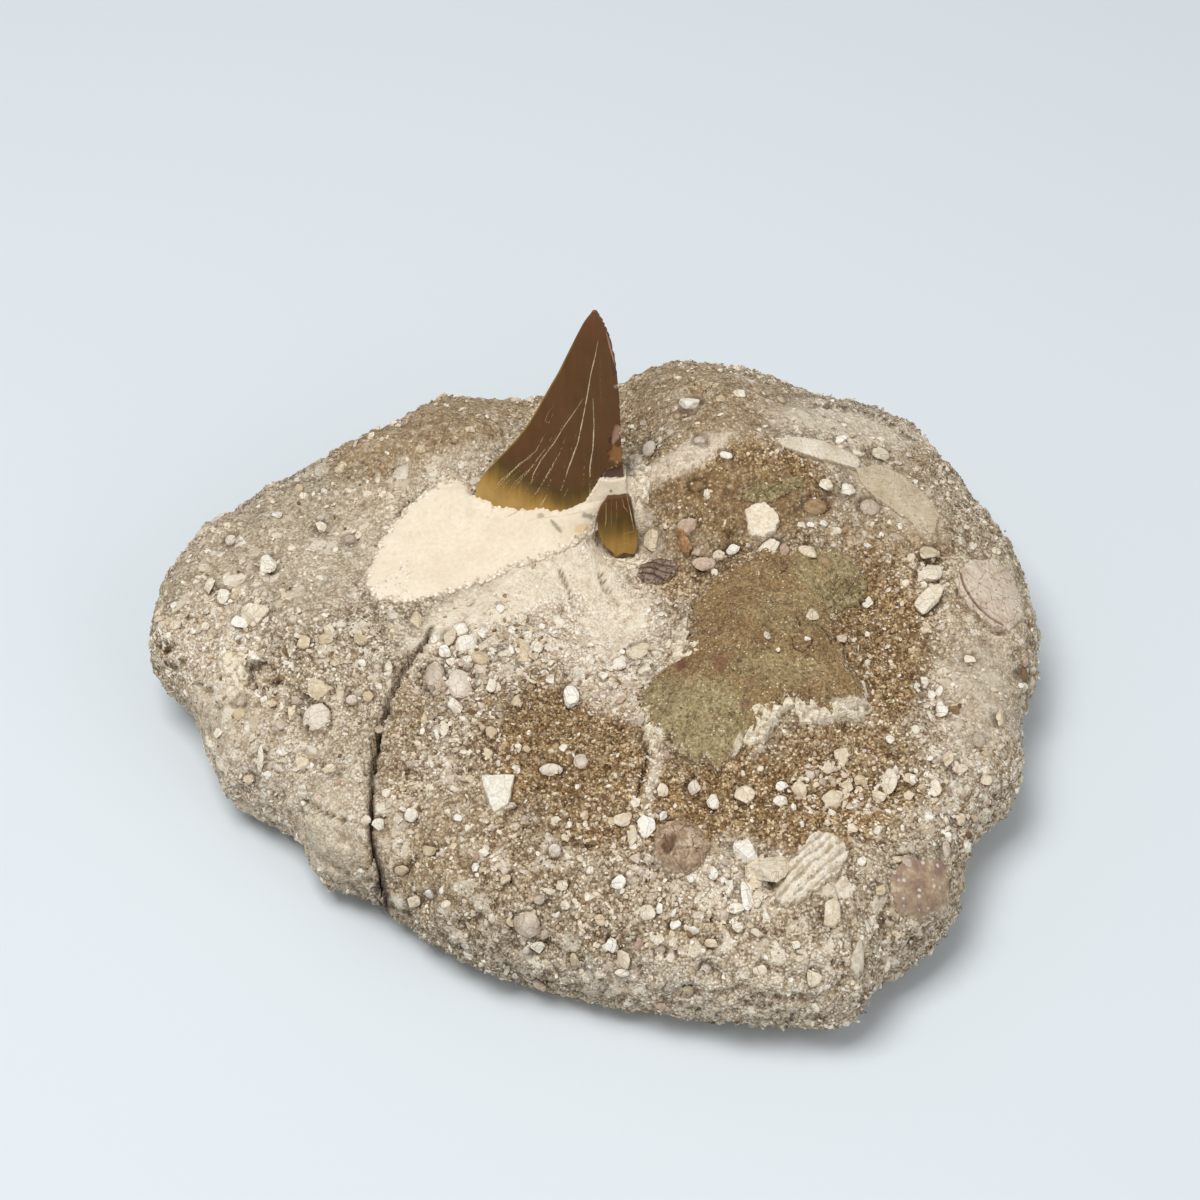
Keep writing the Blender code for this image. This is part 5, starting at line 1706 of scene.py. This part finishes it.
# Each piece set in the surface: its node and its name, its shape (how proud it stands, the rounding of its
# edge, how ragged it is, and its relief, rings and sides where it has its own), and its look (the material's
# name, its tones, the size of its mottling and its roughness) with its finish.
INLAYS = (
    (
        "scale_fragment", "scale_fragment_ribs", (0.45, 0.6, 0.9, fragment_relief, 64, 260),
        (
            "ribbed_cream_scale",
            ((0.0, (230, 214, 186)), (0.45, (245, 234, 213)), (1.0, (253, 248, 236))),
            2.2,
            0.85,
        ),
        {"speck": ((186, 160, 120), 0.5, 0.08), "grit": 0.2},
    ),
    (
        "ribbed_boss", "ribbed_boss_dome", (0.15, 0.9, 0.35, boss_relief, 60, 260),
        ("purplish_boss", ((0.0, (146, 119, 94)), (0.5, (184, 159, 132)), (1.0, (220, 202, 178))), 2.0, 0.8),
        {"crack": ((110, 84, 62), 4.0, 0.015)},
    ),
    (
        "pale_disc", "pale_disc_shell", (0.25, 0.5, 0.4),
        ("cream_disc", ((0.0, (234, 216, 188)), (0.6, (246, 234, 212)), (1.0, (251, 243, 228))), 1.6, 0.85),
        {"speck": ((214, 190, 152), 0.4, 0.2)},
    ),
    (
        "shell_wedge", "shell_wedge_chip", (0.3, 0.25, 0.12),
        ("white_shell", ((0.0, (232, 224, 204)), (0.5, (244, 238, 222)), (1.0, (250, 247, 238))), 1.8, 0.6),
        {"speck": ((214, 202, 178), 0.3, 0.08), "crack": ((226, 212, 186), 2.6, 0.012)},
    ),
    (
        "small_tooth", "small_tooth_enamel", (0.35, 0.6, 0.1),
        ("small_tooth_enamel", ((0.0, (112, 74, 34)), (0.5, (150, 104, 52)), (1.0, (184, 138, 80))), 1.4, 0.35),
        {"dust": 0.4},
    ),
    (
        "bone_chip", "bone_chip_splinter", (0.25, 0.6, 0.4, striped_relief),
        ("dark_split_bone", ((0.0, (104, 82, 66)), (0.5, (138, 114, 96)), (1.0, (176, 156, 134))), 1.6, 0.55),
        {"crack": ((70, 52, 40), 1.6, 0.05)},
    ),
    (
        "cream_bone_strip", "cream_bone_strip_surface", (0.12, 0.6, 0.4),
        ("cream_bone", ((0.0, (216, 202, 176)), (0.5, (230, 218, 196)), (1.0, (240, 231, 213))), 3.0, 0.75),
        {"speck": ((186, 168, 138), 0.35, 0.1)},
    ),
    (
        "tan_bone_strip", "tan_bone_strip_surface", (0.12, 0.6, 0.4),
        ("tan_bone", ((0.0, (190, 172, 142)), (0.5, (206, 190, 162)), (1.0, (220, 206, 180))), 3.0, 0.75),
        {"speck": ((160, 140, 108), 0.4, 0.14)},
    ),
    (
        "pink_nodule", "pink_nodule_surface", (0.12, 1.0, 0.6, nodule_relief, 60, 240),
        (
            "pinkish_nodule",
            ((0.0, (202, 182, 160)), (0.45, (218, 201, 181)), (1.0, (236, 222, 206))),
            2.4,
            0.75,
        ),
        {"speck": ((176, 150, 130), 0.7, 0.2), "crack": ((160, 138, 116), 3.0, 0.02)},
    ),
    (
        "purple_nodule", "purple_nodule_surface", (0.12, 1.0, 0.7),
        (
            "purple_red_nodule",
            ((0.0, (136, 108, 96)), (0.4, (160, 134, 114)), (0.72, (184, 160, 130)), (1.0, (222, 208, 194))),
            3.0,
            0.75,
        ),
        {"speck": ((206, 196, 188), 0.8, 0.14)},
    ),
    (
        "pale_blade", "pale_blade_shell", (0.3, 0.3, 0.15),
        (
            "pale_blade_shell",
            ((0.0, (206, 192, 168)), (0.5, (222, 210, 190)), (1.0, (238, 230, 214))),
            1.2,
            0.6,
        ),
        {},
    ),
)


def make_inlays(tree):
    """All that lies in the surface besides the putty and the bone plate."""
    for node, name, shape, look, finish in INLAYS:
        make_inlay(tree, node, name, mottled_material(*look, **finish), *shape)


# Stones and grains

# Stones by kind, each as it is seen: pixel, width, height and turn.
STONES = {
    "white": (
        (257, 614, 28, 22, -10), (241, 623, 18, 12, 20), (267, 566, 18, 18, 0), (743, 850, 26, 18, 10),
        (826, 486, 14, 12, 10), (847, 491, 16, 12, 0), (800, 525, 8, 6, 0), (811, 525, 8, 6, 0),
        (823, 524, 8, 6, 0), (719, 556, 12, 9, -30), (733, 549, 13, 9, -30), (690, 405, 22, 11, -25),
        (924, 682, 7, 12, 0), (942, 710, 12, 12, 0), (570, 698, 16, 18, 0), (646, 827, 16, 18, 0),
        (633, 836, 10, 12, 0), (663, 818, 12, 9, 0), (714, 873, 10, 10, 0), (648, 913, 16, 12, 0),
        (612, 946, 14, 14, 0), (619, 884, 12, 14, 20), (623, 819, 22, 12, 0), (714, 802, 12, 12, 10),
        (781, 787, 12, 8, 0), (781, 802, 16, 8, 0), (726, 455, 12, 8, 0), (731, 890, 16, 16, 20),
        (746, 895, 14, 18, 0), (738, 909, 18, 12, -10), (738, 927, 10, 9, 0), (757, 899, 12, 14, 0),
        (758, 933, 12, 8, 0), (751, 879, 9, 11, 0), (862, 862, 9, 8, 0), (940, 692, 9, 7, 0),
        (434, 640, 8, 7, 0), (450, 637, 14, 12, 0), (461, 630, 14, 10, 0), (467, 646, 20, 18, 0),
        (490, 645, 22, 14, 0), (445, 652, 12, 10, 0), (467, 661, 20, 13, 0), (450, 662, 10, 9, 0),
        (491, 685, 10, 12, 0), (456, 707, 16, 10, 0), (505, 655, 12, 9, 10), (482, 634, 10, 8, 0),
        (523, 620, 12, 10, 0), (537, 648, 12, 10, 0), (551, 681, 10, 8, 0), (500, 610, 9, 7, 0),
        (512, 632, 9, 8, 0), (528, 636, 9, 8, 0), (412, 816, 12, 14, 0), (378, 824, 12, 12, 0),
        (431, 894, 10, 9, 0), (414, 901, 14, 10, 0), (518, 746, 6, 5, 0), (638, 651, 22, 14, -20),
        (620, 664, 12, 10, 0), (646, 670, 14, 9, 0), (604, 676, 10, 9, 0), (590, 660, 9, 8, 0),
        (321, 527, 12, 12, 0), (277, 516, 10, 7, 0), (277, 536, 10, 6, 0), (210, 587, 12, 12, 0),
        (224, 598, 12, 16, 0), (204, 568, 10, 8, 0), (362, 664, 8, 8, 0), (387, 793, 8, 8, 0),
        (261, 761, 8, 20, 0), (538, 947, 14, 10, 0), (469, 954, 10, 8, 0), (880, 455, 18, 10, 0),
        (912, 558, 8, 8, 0), (766, 636, 8, 6, 0), (778, 650, 5, 4, 0), (623, 973, 14, 8, 0),
        (625, 958, 14, 12, 0), (836, 531, 10, 8, 0), (868, 603, 12, 10, 0), (808, 639, 6, 4, 30),
        (430, 788, 9, 8, 0), (458, 818, 8, 8, 0), (484, 852, 10, 8, 0), (446, 905, 9, 8, 0),
        (566, 905, 9, 8, 0), (590, 870, 8, 8, 0), (676, 925, 10, 9, 0), (795, 945, 9, 8, 0),
        (878, 830, 9, 8, 0), (915, 730, 8, 8, 0), (890, 740, 8, 7, 0),
    ),
    "cream": (
        (833, 801, 18, 17, 0), (887, 782, 18, 17, 0), (842, 758, 16, 18, 0), (848, 786, 13, 10, 0),
        (861, 781, 12, 10, 0), (877, 795, 16, 10, 0), (797, 790, 16, 14, 0), (745, 797, 18, 16, 0),
        (715, 574, 8, 8, 0), (931, 554, 20, 18, 20), (928, 574, 24, 18, 20), (930, 600, 20, 28, 40),
        (304, 642, 14, 12, 0), (320, 690, 24, 16, -15), (481, 659, 18, 10, 0), (524, 656, 14, 20, 0),
        (517, 702, 12, 14, 0), (492, 732, 12, 10, 0), (488, 753, 10, 10, 0), (830, 913, 20, 20, 0),
        (814, 978, 14, 16, 0), (712, 943, 12, 9, 0), (600, 920, 12, 9, 30), (768, 868, 34, 34, 0),
        (754, 873, 18, 26, 0), (652, 541, 17, 20, 0), (770, 549, 26, 14, -35), (852, 828, 10, 8, 0),
        (910, 780, 12, 12, 30), (935, 790, 12, 18, 20), (948, 760, 12, 18, 20), (898, 860, 10, 8, 0),
        (561, 885, 12, 9, 0), (584, 815, 9, 8, 0), (416, 621, 12, 14, 0), (360, 640, 14, 8, 0),
        (389, 669, 8, 12, 0), (291, 713, 9, 12, 0), (304, 761, 16, 16, 0), (368, 697, 10, 10, 0),
        (424, 720, 8, 10, 0), (444, 728, 8, 14, 0), (661, 791, 12, 12, 0), (809, 552, 20, 9, 35),
        (812, 616, 12, 12, 0), (906, 584, 8, 6, 0), (272, 703, 10, 8, 0), (366, 820, 10, 8, 0),
        (470, 780, 9, 8, 0), (430, 850, 12, 10, 0), (402, 870, 12, 9, 0), (506, 880, 10, 9, 0),
        (575, 960, 12, 9, 0), (690, 990, 12, 9, 0), (760, 970, 12, 10, 0), (880, 890, 12, 9, 0),
        (960, 820, 12, 10, 0), (985, 780, 12, 10, 0), (1000, 720, 12, 12, 0), (970, 660, 12, 9, 0),
        (340, 470, 10, 8, 0), (300, 490, 9, 8, 0), (420, 450, 10, 8, 0), (470, 430, 9, 7, 0),
        (720, 400, 10, 8, 0), (780, 400, 9, 7, 0), (250, 780, 12, 10, 0), (330, 770, 12, 10, 0),
    ),
    "grey": (
        (524, 924, 28, 22, 0), (432, 680, 24, 28, 0), (462, 683, 26, 23, 0), (316, 719, 28, 30, 0),
        (296, 701, 10, 10, 0), (281, 724, 10, 8, 0), (481, 671, 12, 10, 0), (555, 852, 12, 14, 0),
        (648, 861, 7, 14, 0), (646, 873, 8, 10, 0), (693, 789, 20, 16, 20), (909, 862, 14, 12, 0),
        (947, 850, 12, 10, 0), (870, 506, 21, 15, 10), (889, 924, 12, 9, 0), (707, 968, 14, 10, 0),
        (660, 950, 12, 9, 0), (648, 448, 16, 12, 0), (581, 761, 14, 14, 0), (551, 770, 22, 12, 0),
        (700, 440, 12, 8, 0), (352, 700, 12, 10, 0), (240, 700, 12, 10, 0), (380, 580, 12, 10, 0),
        (350, 540, 12, 10, 0), (230, 540, 12, 10, 0), (540, 900, 12, 9, 0), (820, 850, 10, 9, 0),
        (980, 740, 14, 12, 0),
    ),
    "pink": (
        (688, 527, 20, 15, -20), (705, 565, 22, 15, 10), (784, 551, 10, 10, 0), (960, 770, 14, 10, 0),
        (842, 640, 10, 8, 0), (509, 806, 12, 8, 0), (437, 955, 12, 10, 0), (696, 553, 9, 8, 0),
        (540, 985, 12, 9, 0), (380, 730, 9, 8, 0),
    ),
    "brown": (
        (815, 505, 25, 17, 0), (828, 562, 20, 11, 20), (493, 907, 6, 6, 0), (1024, 675, 9, 16, 0),
        (697, 486, 16, 12, 0), (794, 616, 8, 8, 0),
    ),
}
STONE_TONES = {
    "white": ((0.0, (228, 214, 190)), (0.4, (245, 236, 218)), (1.0, (252, 248, 238))),
    "cream": ((0.0, (212, 192, 160)), (0.45, (232, 216, 188)), (1.0, (245, 234, 214))),
    "grey": ((0.0, (198, 181, 163)), (0.5, (219, 204, 187)), (1.0, (235, 223, 208))),
    "pink": ((0.0, (184, 156, 134)), (0.5, (210, 186, 164)), (1.0, (230, 212, 194))),
    "brown": ((0.0, (108, 82, 52)), (0.5, (144, 115, 78)), (1.0, (178, 150, 112))),
}
ROUNDED_KINDS = ("grey", "brown")
SCATTERED_STONES = 6000
SCATTER_SHARES = {"white": 0.34, "cream": 0.30, "grey": 0.22, "pink": 0.08, "brown": 0.06}
GRAIN_PIECES = ("first", "second", "third", "fourth")
GRAINS_EACH = 8200
# No stone or grain lies lower than this over the floor.
LOWEST_GRAIN = 1.3


def unit_stone(subdivisions):
    """The vertices and the faces of a plain round stone of radius 1."""
    bm = bmesh.new()
    bmesh.ops.create_icosphere(bm, subdivisions=subdivisions, radius=1)
    vertices = np.array([vert.co for vert in bm.verts])
    faces = np.array([[vert.index for vert in face.verts] for face in bm.faces])
    bm.free()
    return vertices, faces


def chipped(vertices, draw, cuts, low, high):
    """A stone's vertices with flat faces chipped off it, each cut at a distance between low and high."""
    for _ in range(cuts):
        normal = draw.normal(size=3)
        normal /= np.linalg.norm(normal)
        over = vertices @ normal - draw.uniform(low, high)
        vertices = vertices - np.maximum(over, 0)[:, None] * normal
    return vertices


def joined_mesh(name, shapes, material, attributes):
    """One piece from many shapes, each an array of vertices and one of faces, with a value per shape."""
    counts = [len(vertices) for vertices, _ in shapes]
    starts = np.cumsum([0, *counts[:-1]])
    vertices = np.concatenate([vertices for vertices, _ in shapes]) * MM
    vertices[:, 2] = np.maximum(vertices[:, 2], 0)
    faces = np.concatenate([faces + start for (_, faces), start in zip(shapes, starts)])
    mesh = bpy.data.meshes.new(name)
    mesh.vertices.add(len(vertices))
    mesh.vertices.foreach_set("co", vertices.astype(np.float32).ravel())
    mesh.loops.add(faces.size)
    mesh.loops.foreach_set("vertex_index", faces.astype(np.int32).ravel())
    mesh.polygons.add(len(faces))
    mesh.polygons.foreach_set("loop_start", np.arange(0, faces.size, 3, dtype=np.int32))
    mesh.update(calc_edges=True)
    mesh.shade_flat()
    values = {label: np.repeat(value, counts) for label, value in attributes.items()}
    piece = new_piece(name, mesh, material, values)
    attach(piece, "root")


def frames_on(normals, draw):
    """A frame for each normal, turned at random about it and tipped a little: its axes as rows."""
    tipped = normals + draw.normal(0, 0.28, normals.shape)
    up = tipped / np.linalg.norm(tipped, axis=-1, keepdims=True)
    free = draw.normal(size=normals.shape)
    right = np.cross(free, up)
    right /= np.linalg.norm(right, axis=-1, keepdims=True)
    return np.stack([right, np.cross(up, right), up], 1)


def scatter_places(sheet, density, count, draw):
    """Random places on the sheet, as often as the density says: their places and normals."""
    corner = sheet[:-1, :-1]
    across = sheet[:-1, 1:] - corner
    down = sheet[1:, :-1] - corner
    normal = np.cross(across, down)
    area = np.linalg.norm(normal, axis=-1)
    weight = (area * density[:-1, :-1]).ravel()
    chosen = draw.choice(weight.size, count, p=weight / weight.sum())
    share = draw.uniform(size=(2, count, 1))
    place = corner.reshape(-1, 3)[chosen]
    place = place + share[0] * across.reshape(-1, 3)[chosen] + share[1] * down.reshape(-1, 3)[chosen]
    normals = (normal / area[..., None]).reshape(-1, 3)[chosen]
    return place, normals


def seen_stone(tree, pixel, wide, high, turn, rounded, draw):
    """A stone as it is seen, set in the ground behind its pixel: its vertices and faces."""
    place, normal = tree.ray_cast(CAMERA_PLACE, picture_ray(*pixel))[:2]
    if place is None:
        return np.zeros((0, 3)), np.zeros((0, 3), int)
    seat = frame_on(place, normal)
    vertices, faces = unit_stone(3 if max(wide, high) > 11 else 2)
    if not rounded:
        vertices = chipped(vertices, draw, 9, 0.5, 0.85)
        vertices[:, 2] = np.minimum(vertices[:, 2], 0.6)
    vertices = vertices * (1 + 0.025 * draw.normal(size=(len(vertices), 1)))
    flatter = max(0.5, abs(normal.dot(LOOK)))
    half = (1.0 if rounded else 1.15) * np.array((wide / 2, high / 2 / flatter)) / PIXELS_EACH_MM
    thick = (0.6 if rounded else 0.55) * half.min()
    vertices = vertices * np.array((*half, thick))
    angle = math.radians(-turn)
    spin = np.array(((math.cos(angle), -math.sin(angle), 0), (math.sin(angle), math.cos(angle), 0), (0, 0, 1)))
    vertices = vertices @ spin.T - np.array((0, 0, 0.5 * thick if rounded else 0.1 * thick))
    matrix = np.array(seat)
    vertices = vertices @ matrix[:3, :3].T + matrix[:3, 3] + (0.1 if rounded else 0.25) * matrix[:3, 2]
    return vertices, faces


def open_ground(ground, rough, most):
    """Where loose stones and grains may lie: clear of the floor, of the filled gaps and of what is inlaid."""
    _, _, inlaid, hole = ground
    covered = blurred(spread_field(inlaid.astype(float), 1, np.maximum), 0.8)
    return (covered < most) * (rough[..., 2] > LOWEST_GRAIN) * ~hole


def make_stones(ground, rough, tree):
    """The stones in the sand: those that stand out one by one, and the small ones strewn between them."""
    draw = np.random.default_rng(11)
    facing = facing_camera(sheet_normals(rough))
    patches = 0.4 + 0.9 * smooth_step(-0.1, 0.5, noise_at(rough, 14.0, 61.0))
    patches += 3.0 * region_weight(rough, facing, "pebbles")
    patches *= 1 - 0.85 * region_weight(rough, facing, "smear")
    patches *= 1 - 0.4 * region_weight(rough, facing, "fine")
    density = open_ground(ground, rough, 0.1) * patches
    places, normals = scatter_places(rough, density, SCATTERED_STONES, draw)
    frames = frames_on(normals, draw)
    sizes = 0.38 * draw.uniform(0.03, 1, SCATTERED_STONES) ** -0.34
    kinds = draw.choice(len(STONE_TONES), SCATTERED_STONES, p=[SCATTER_SHARES[kind] for kind in STONE_TONES])
    small = unit_stone(1)
    for index, (kind, tones) in enumerate(STONE_TONES.items()):
        shapes = []
        for *pixel, wide, high, turn in STONES[kind]:
            shapes.append(seen_stone(tree, pixel, wide, high, turn, kind in ROUNDED_KINDS, draw))
        for place, axes, size in zip(places[kinds == index], frames[kinds == index], sizes[kinds == index]):
            vertices, faces = small
            vertices = vertices * draw.uniform(0.7, 1.2, (len(vertices), 1))
            vertices = vertices * size * np.array((1, draw.uniform(0.45, 1), draw.uniform(0.25, 0.5)))
            shapes.append((vertices @ axes + place + 0.08 * axes[2], faces))
        crack = ((150, 130, 104), 2.5, 0.015)
        material = mottled_material(f"{kind}_stone", tones, 1.5, 0.8, crack=crack, grit=0.06, tint=1.2)
        tint = draw.uniform(0, 1, len(shapes))
        joined_mesh(f"{kind}_stones", shapes, material, {"tint": tint, "groove_shade": 0 * tint, "dust": 0 * tint})


def make_grains(ground, rough):
    """The coarsest grains of the sand, standing out of the ground, in a few joined pieces."""
    draw = np.random.default_rng(23)
    facing = facing_camera(sheet_normals(rough))
    stain = region_weight(rough, facing, "stain")
    cream = region_weight(rough, facing, "cream")
    crack = distance_to_path(rough, CRACK)[0]
    smear = region_weight(rough, facing, "smear")
    density = open_ground(ground, rough, 0.15) * (crack > 1.0) * (0.45 + 0.55 * facing) * (0.6 + 0.4 * stain)
    fine = region_weight(rough, facing, "fine")
    density = density * (1 - 0.5 * cream) * (1 - 0.9 * smear) * (1 - 0.8 * fine)
    vertices, faces = unit_stone(1)
    material = grain_material()
    for number in GRAIN_PIECES:
        places, normals = scatter_places(rough, density, GRAINS_EACH, draw)
        frames = frames_on(normals, draw)
        sizes = np.minimum(0.14 * draw.uniform(0.01, 1, GRAINS_EACH) ** -0.34, 0.36)
        flatness = draw.uniform((0.6, 0.4), (1.0, 0.8), (GRAINS_EACH, 2))
        scales = sizes[:, None] * np.concatenate([np.ones((GRAINS_EACH, 1)), flatness], 1)
        shapes = vertices * draw.uniform(0.75, 1.2, (GRAINS_EACH, len(vertices), 1)) * scales[:, None]
        shapes = np.einsum("nvi,nij->nvj", shapes, frames) + places[:, None] - 0.02 * normals[:, None]
        centre_facing = facing_camera(normals)
        attributes = {
            "tint": draw.uniform(0, 1, GRAINS_EACH),
            "stain": region_weight(places, centre_facing, "stain"),
            "cream": region_weight(places, centre_facing, "cream"),
        }
        joined_mesh(f"sand_grains_{number}", [(shape, faces) for shape in shapes], material, attributes)


# The stage


def make_stage():
    """A plain pale floor, soft studio light and the camera."""
    bm = bmesh.new()
    bmesh.ops.create_grid(bm, x_segments=1, y_segments=1, size=4.0)
    floor = plain_object("floor", bm)
    paper = new_material("floor_paper", 0.9)
    paper.shader.inputs["Base Color"].default_value = srgb((215, 221, 225))
    floor.data.materials.append(paper.material)

    world = bpy.data.worlds.new("studio")
    world.use_nodes = True
    background = world.node_tree.nodes["Background"]
    background.inputs["Color"].default_value = (0.93, 0.97, 1.0, 1)
    background.inputs["Strength"].default_value = 0.4
    bpy.context.scene.world = world

    lights = (
        ("key", (-0.2, -0.12, 0.85), 0.4, 5.8),
        ("fill", (0.7, -0.5, 0.5), 0.8, 1.9),
    )
    for name, place, size, power in lights:
        light = bpy.data.lights.new(name, "AREA")
        light.size = size
        light.energy = power
        holder = bpy.data.objects.new(name, light)
        holder.location = place
        holder.rotation_euler = (-Vector(place)).to_track_quat("-Z", "Y").to_euler()
        bpy.context.scene.collection.objects.link(holder)

    camera = bpy.data.cameras.new("camera")
    camera.lens = LENS
    camera.sensor_width = SENSOR
    camera.clip_start = 0.01
    holder = bpy.data.objects.new("camera", camera)
    holder.location = CAMERA_PLACE * MM
    holder.rotation_euler = (math.pi / 2 - CAMERA_ELEVATION, 0, 0)
    bpy.context.scene.collection.objects.link(holder)
    bpy.context.scene.camera = holder
    bpy.context.scene.view_settings.view_transform = "Standard"


def main():
    for make_group in (sand_group, weathering_group, mottle_group, speck_group, clast_group, crackle_group):
        make_group()
    ground = make_ground()
    smooth = make_bm_sheet(ground[0])
    tree = BVHTree.FromBMesh(smooth)
    smooth.free()
    rough = make_lump(ground)
    plate = make_bone_plate(tree)
    make_stones(ground, rough, tree_over(rough, plate))
    make_grains(ground, rough)
    enamel = enamel_material()
    make_crown(enamel)
    make_heel(enamel)
    make_putty(tree)
    make_inlays(tree)
    make_stage()


main()
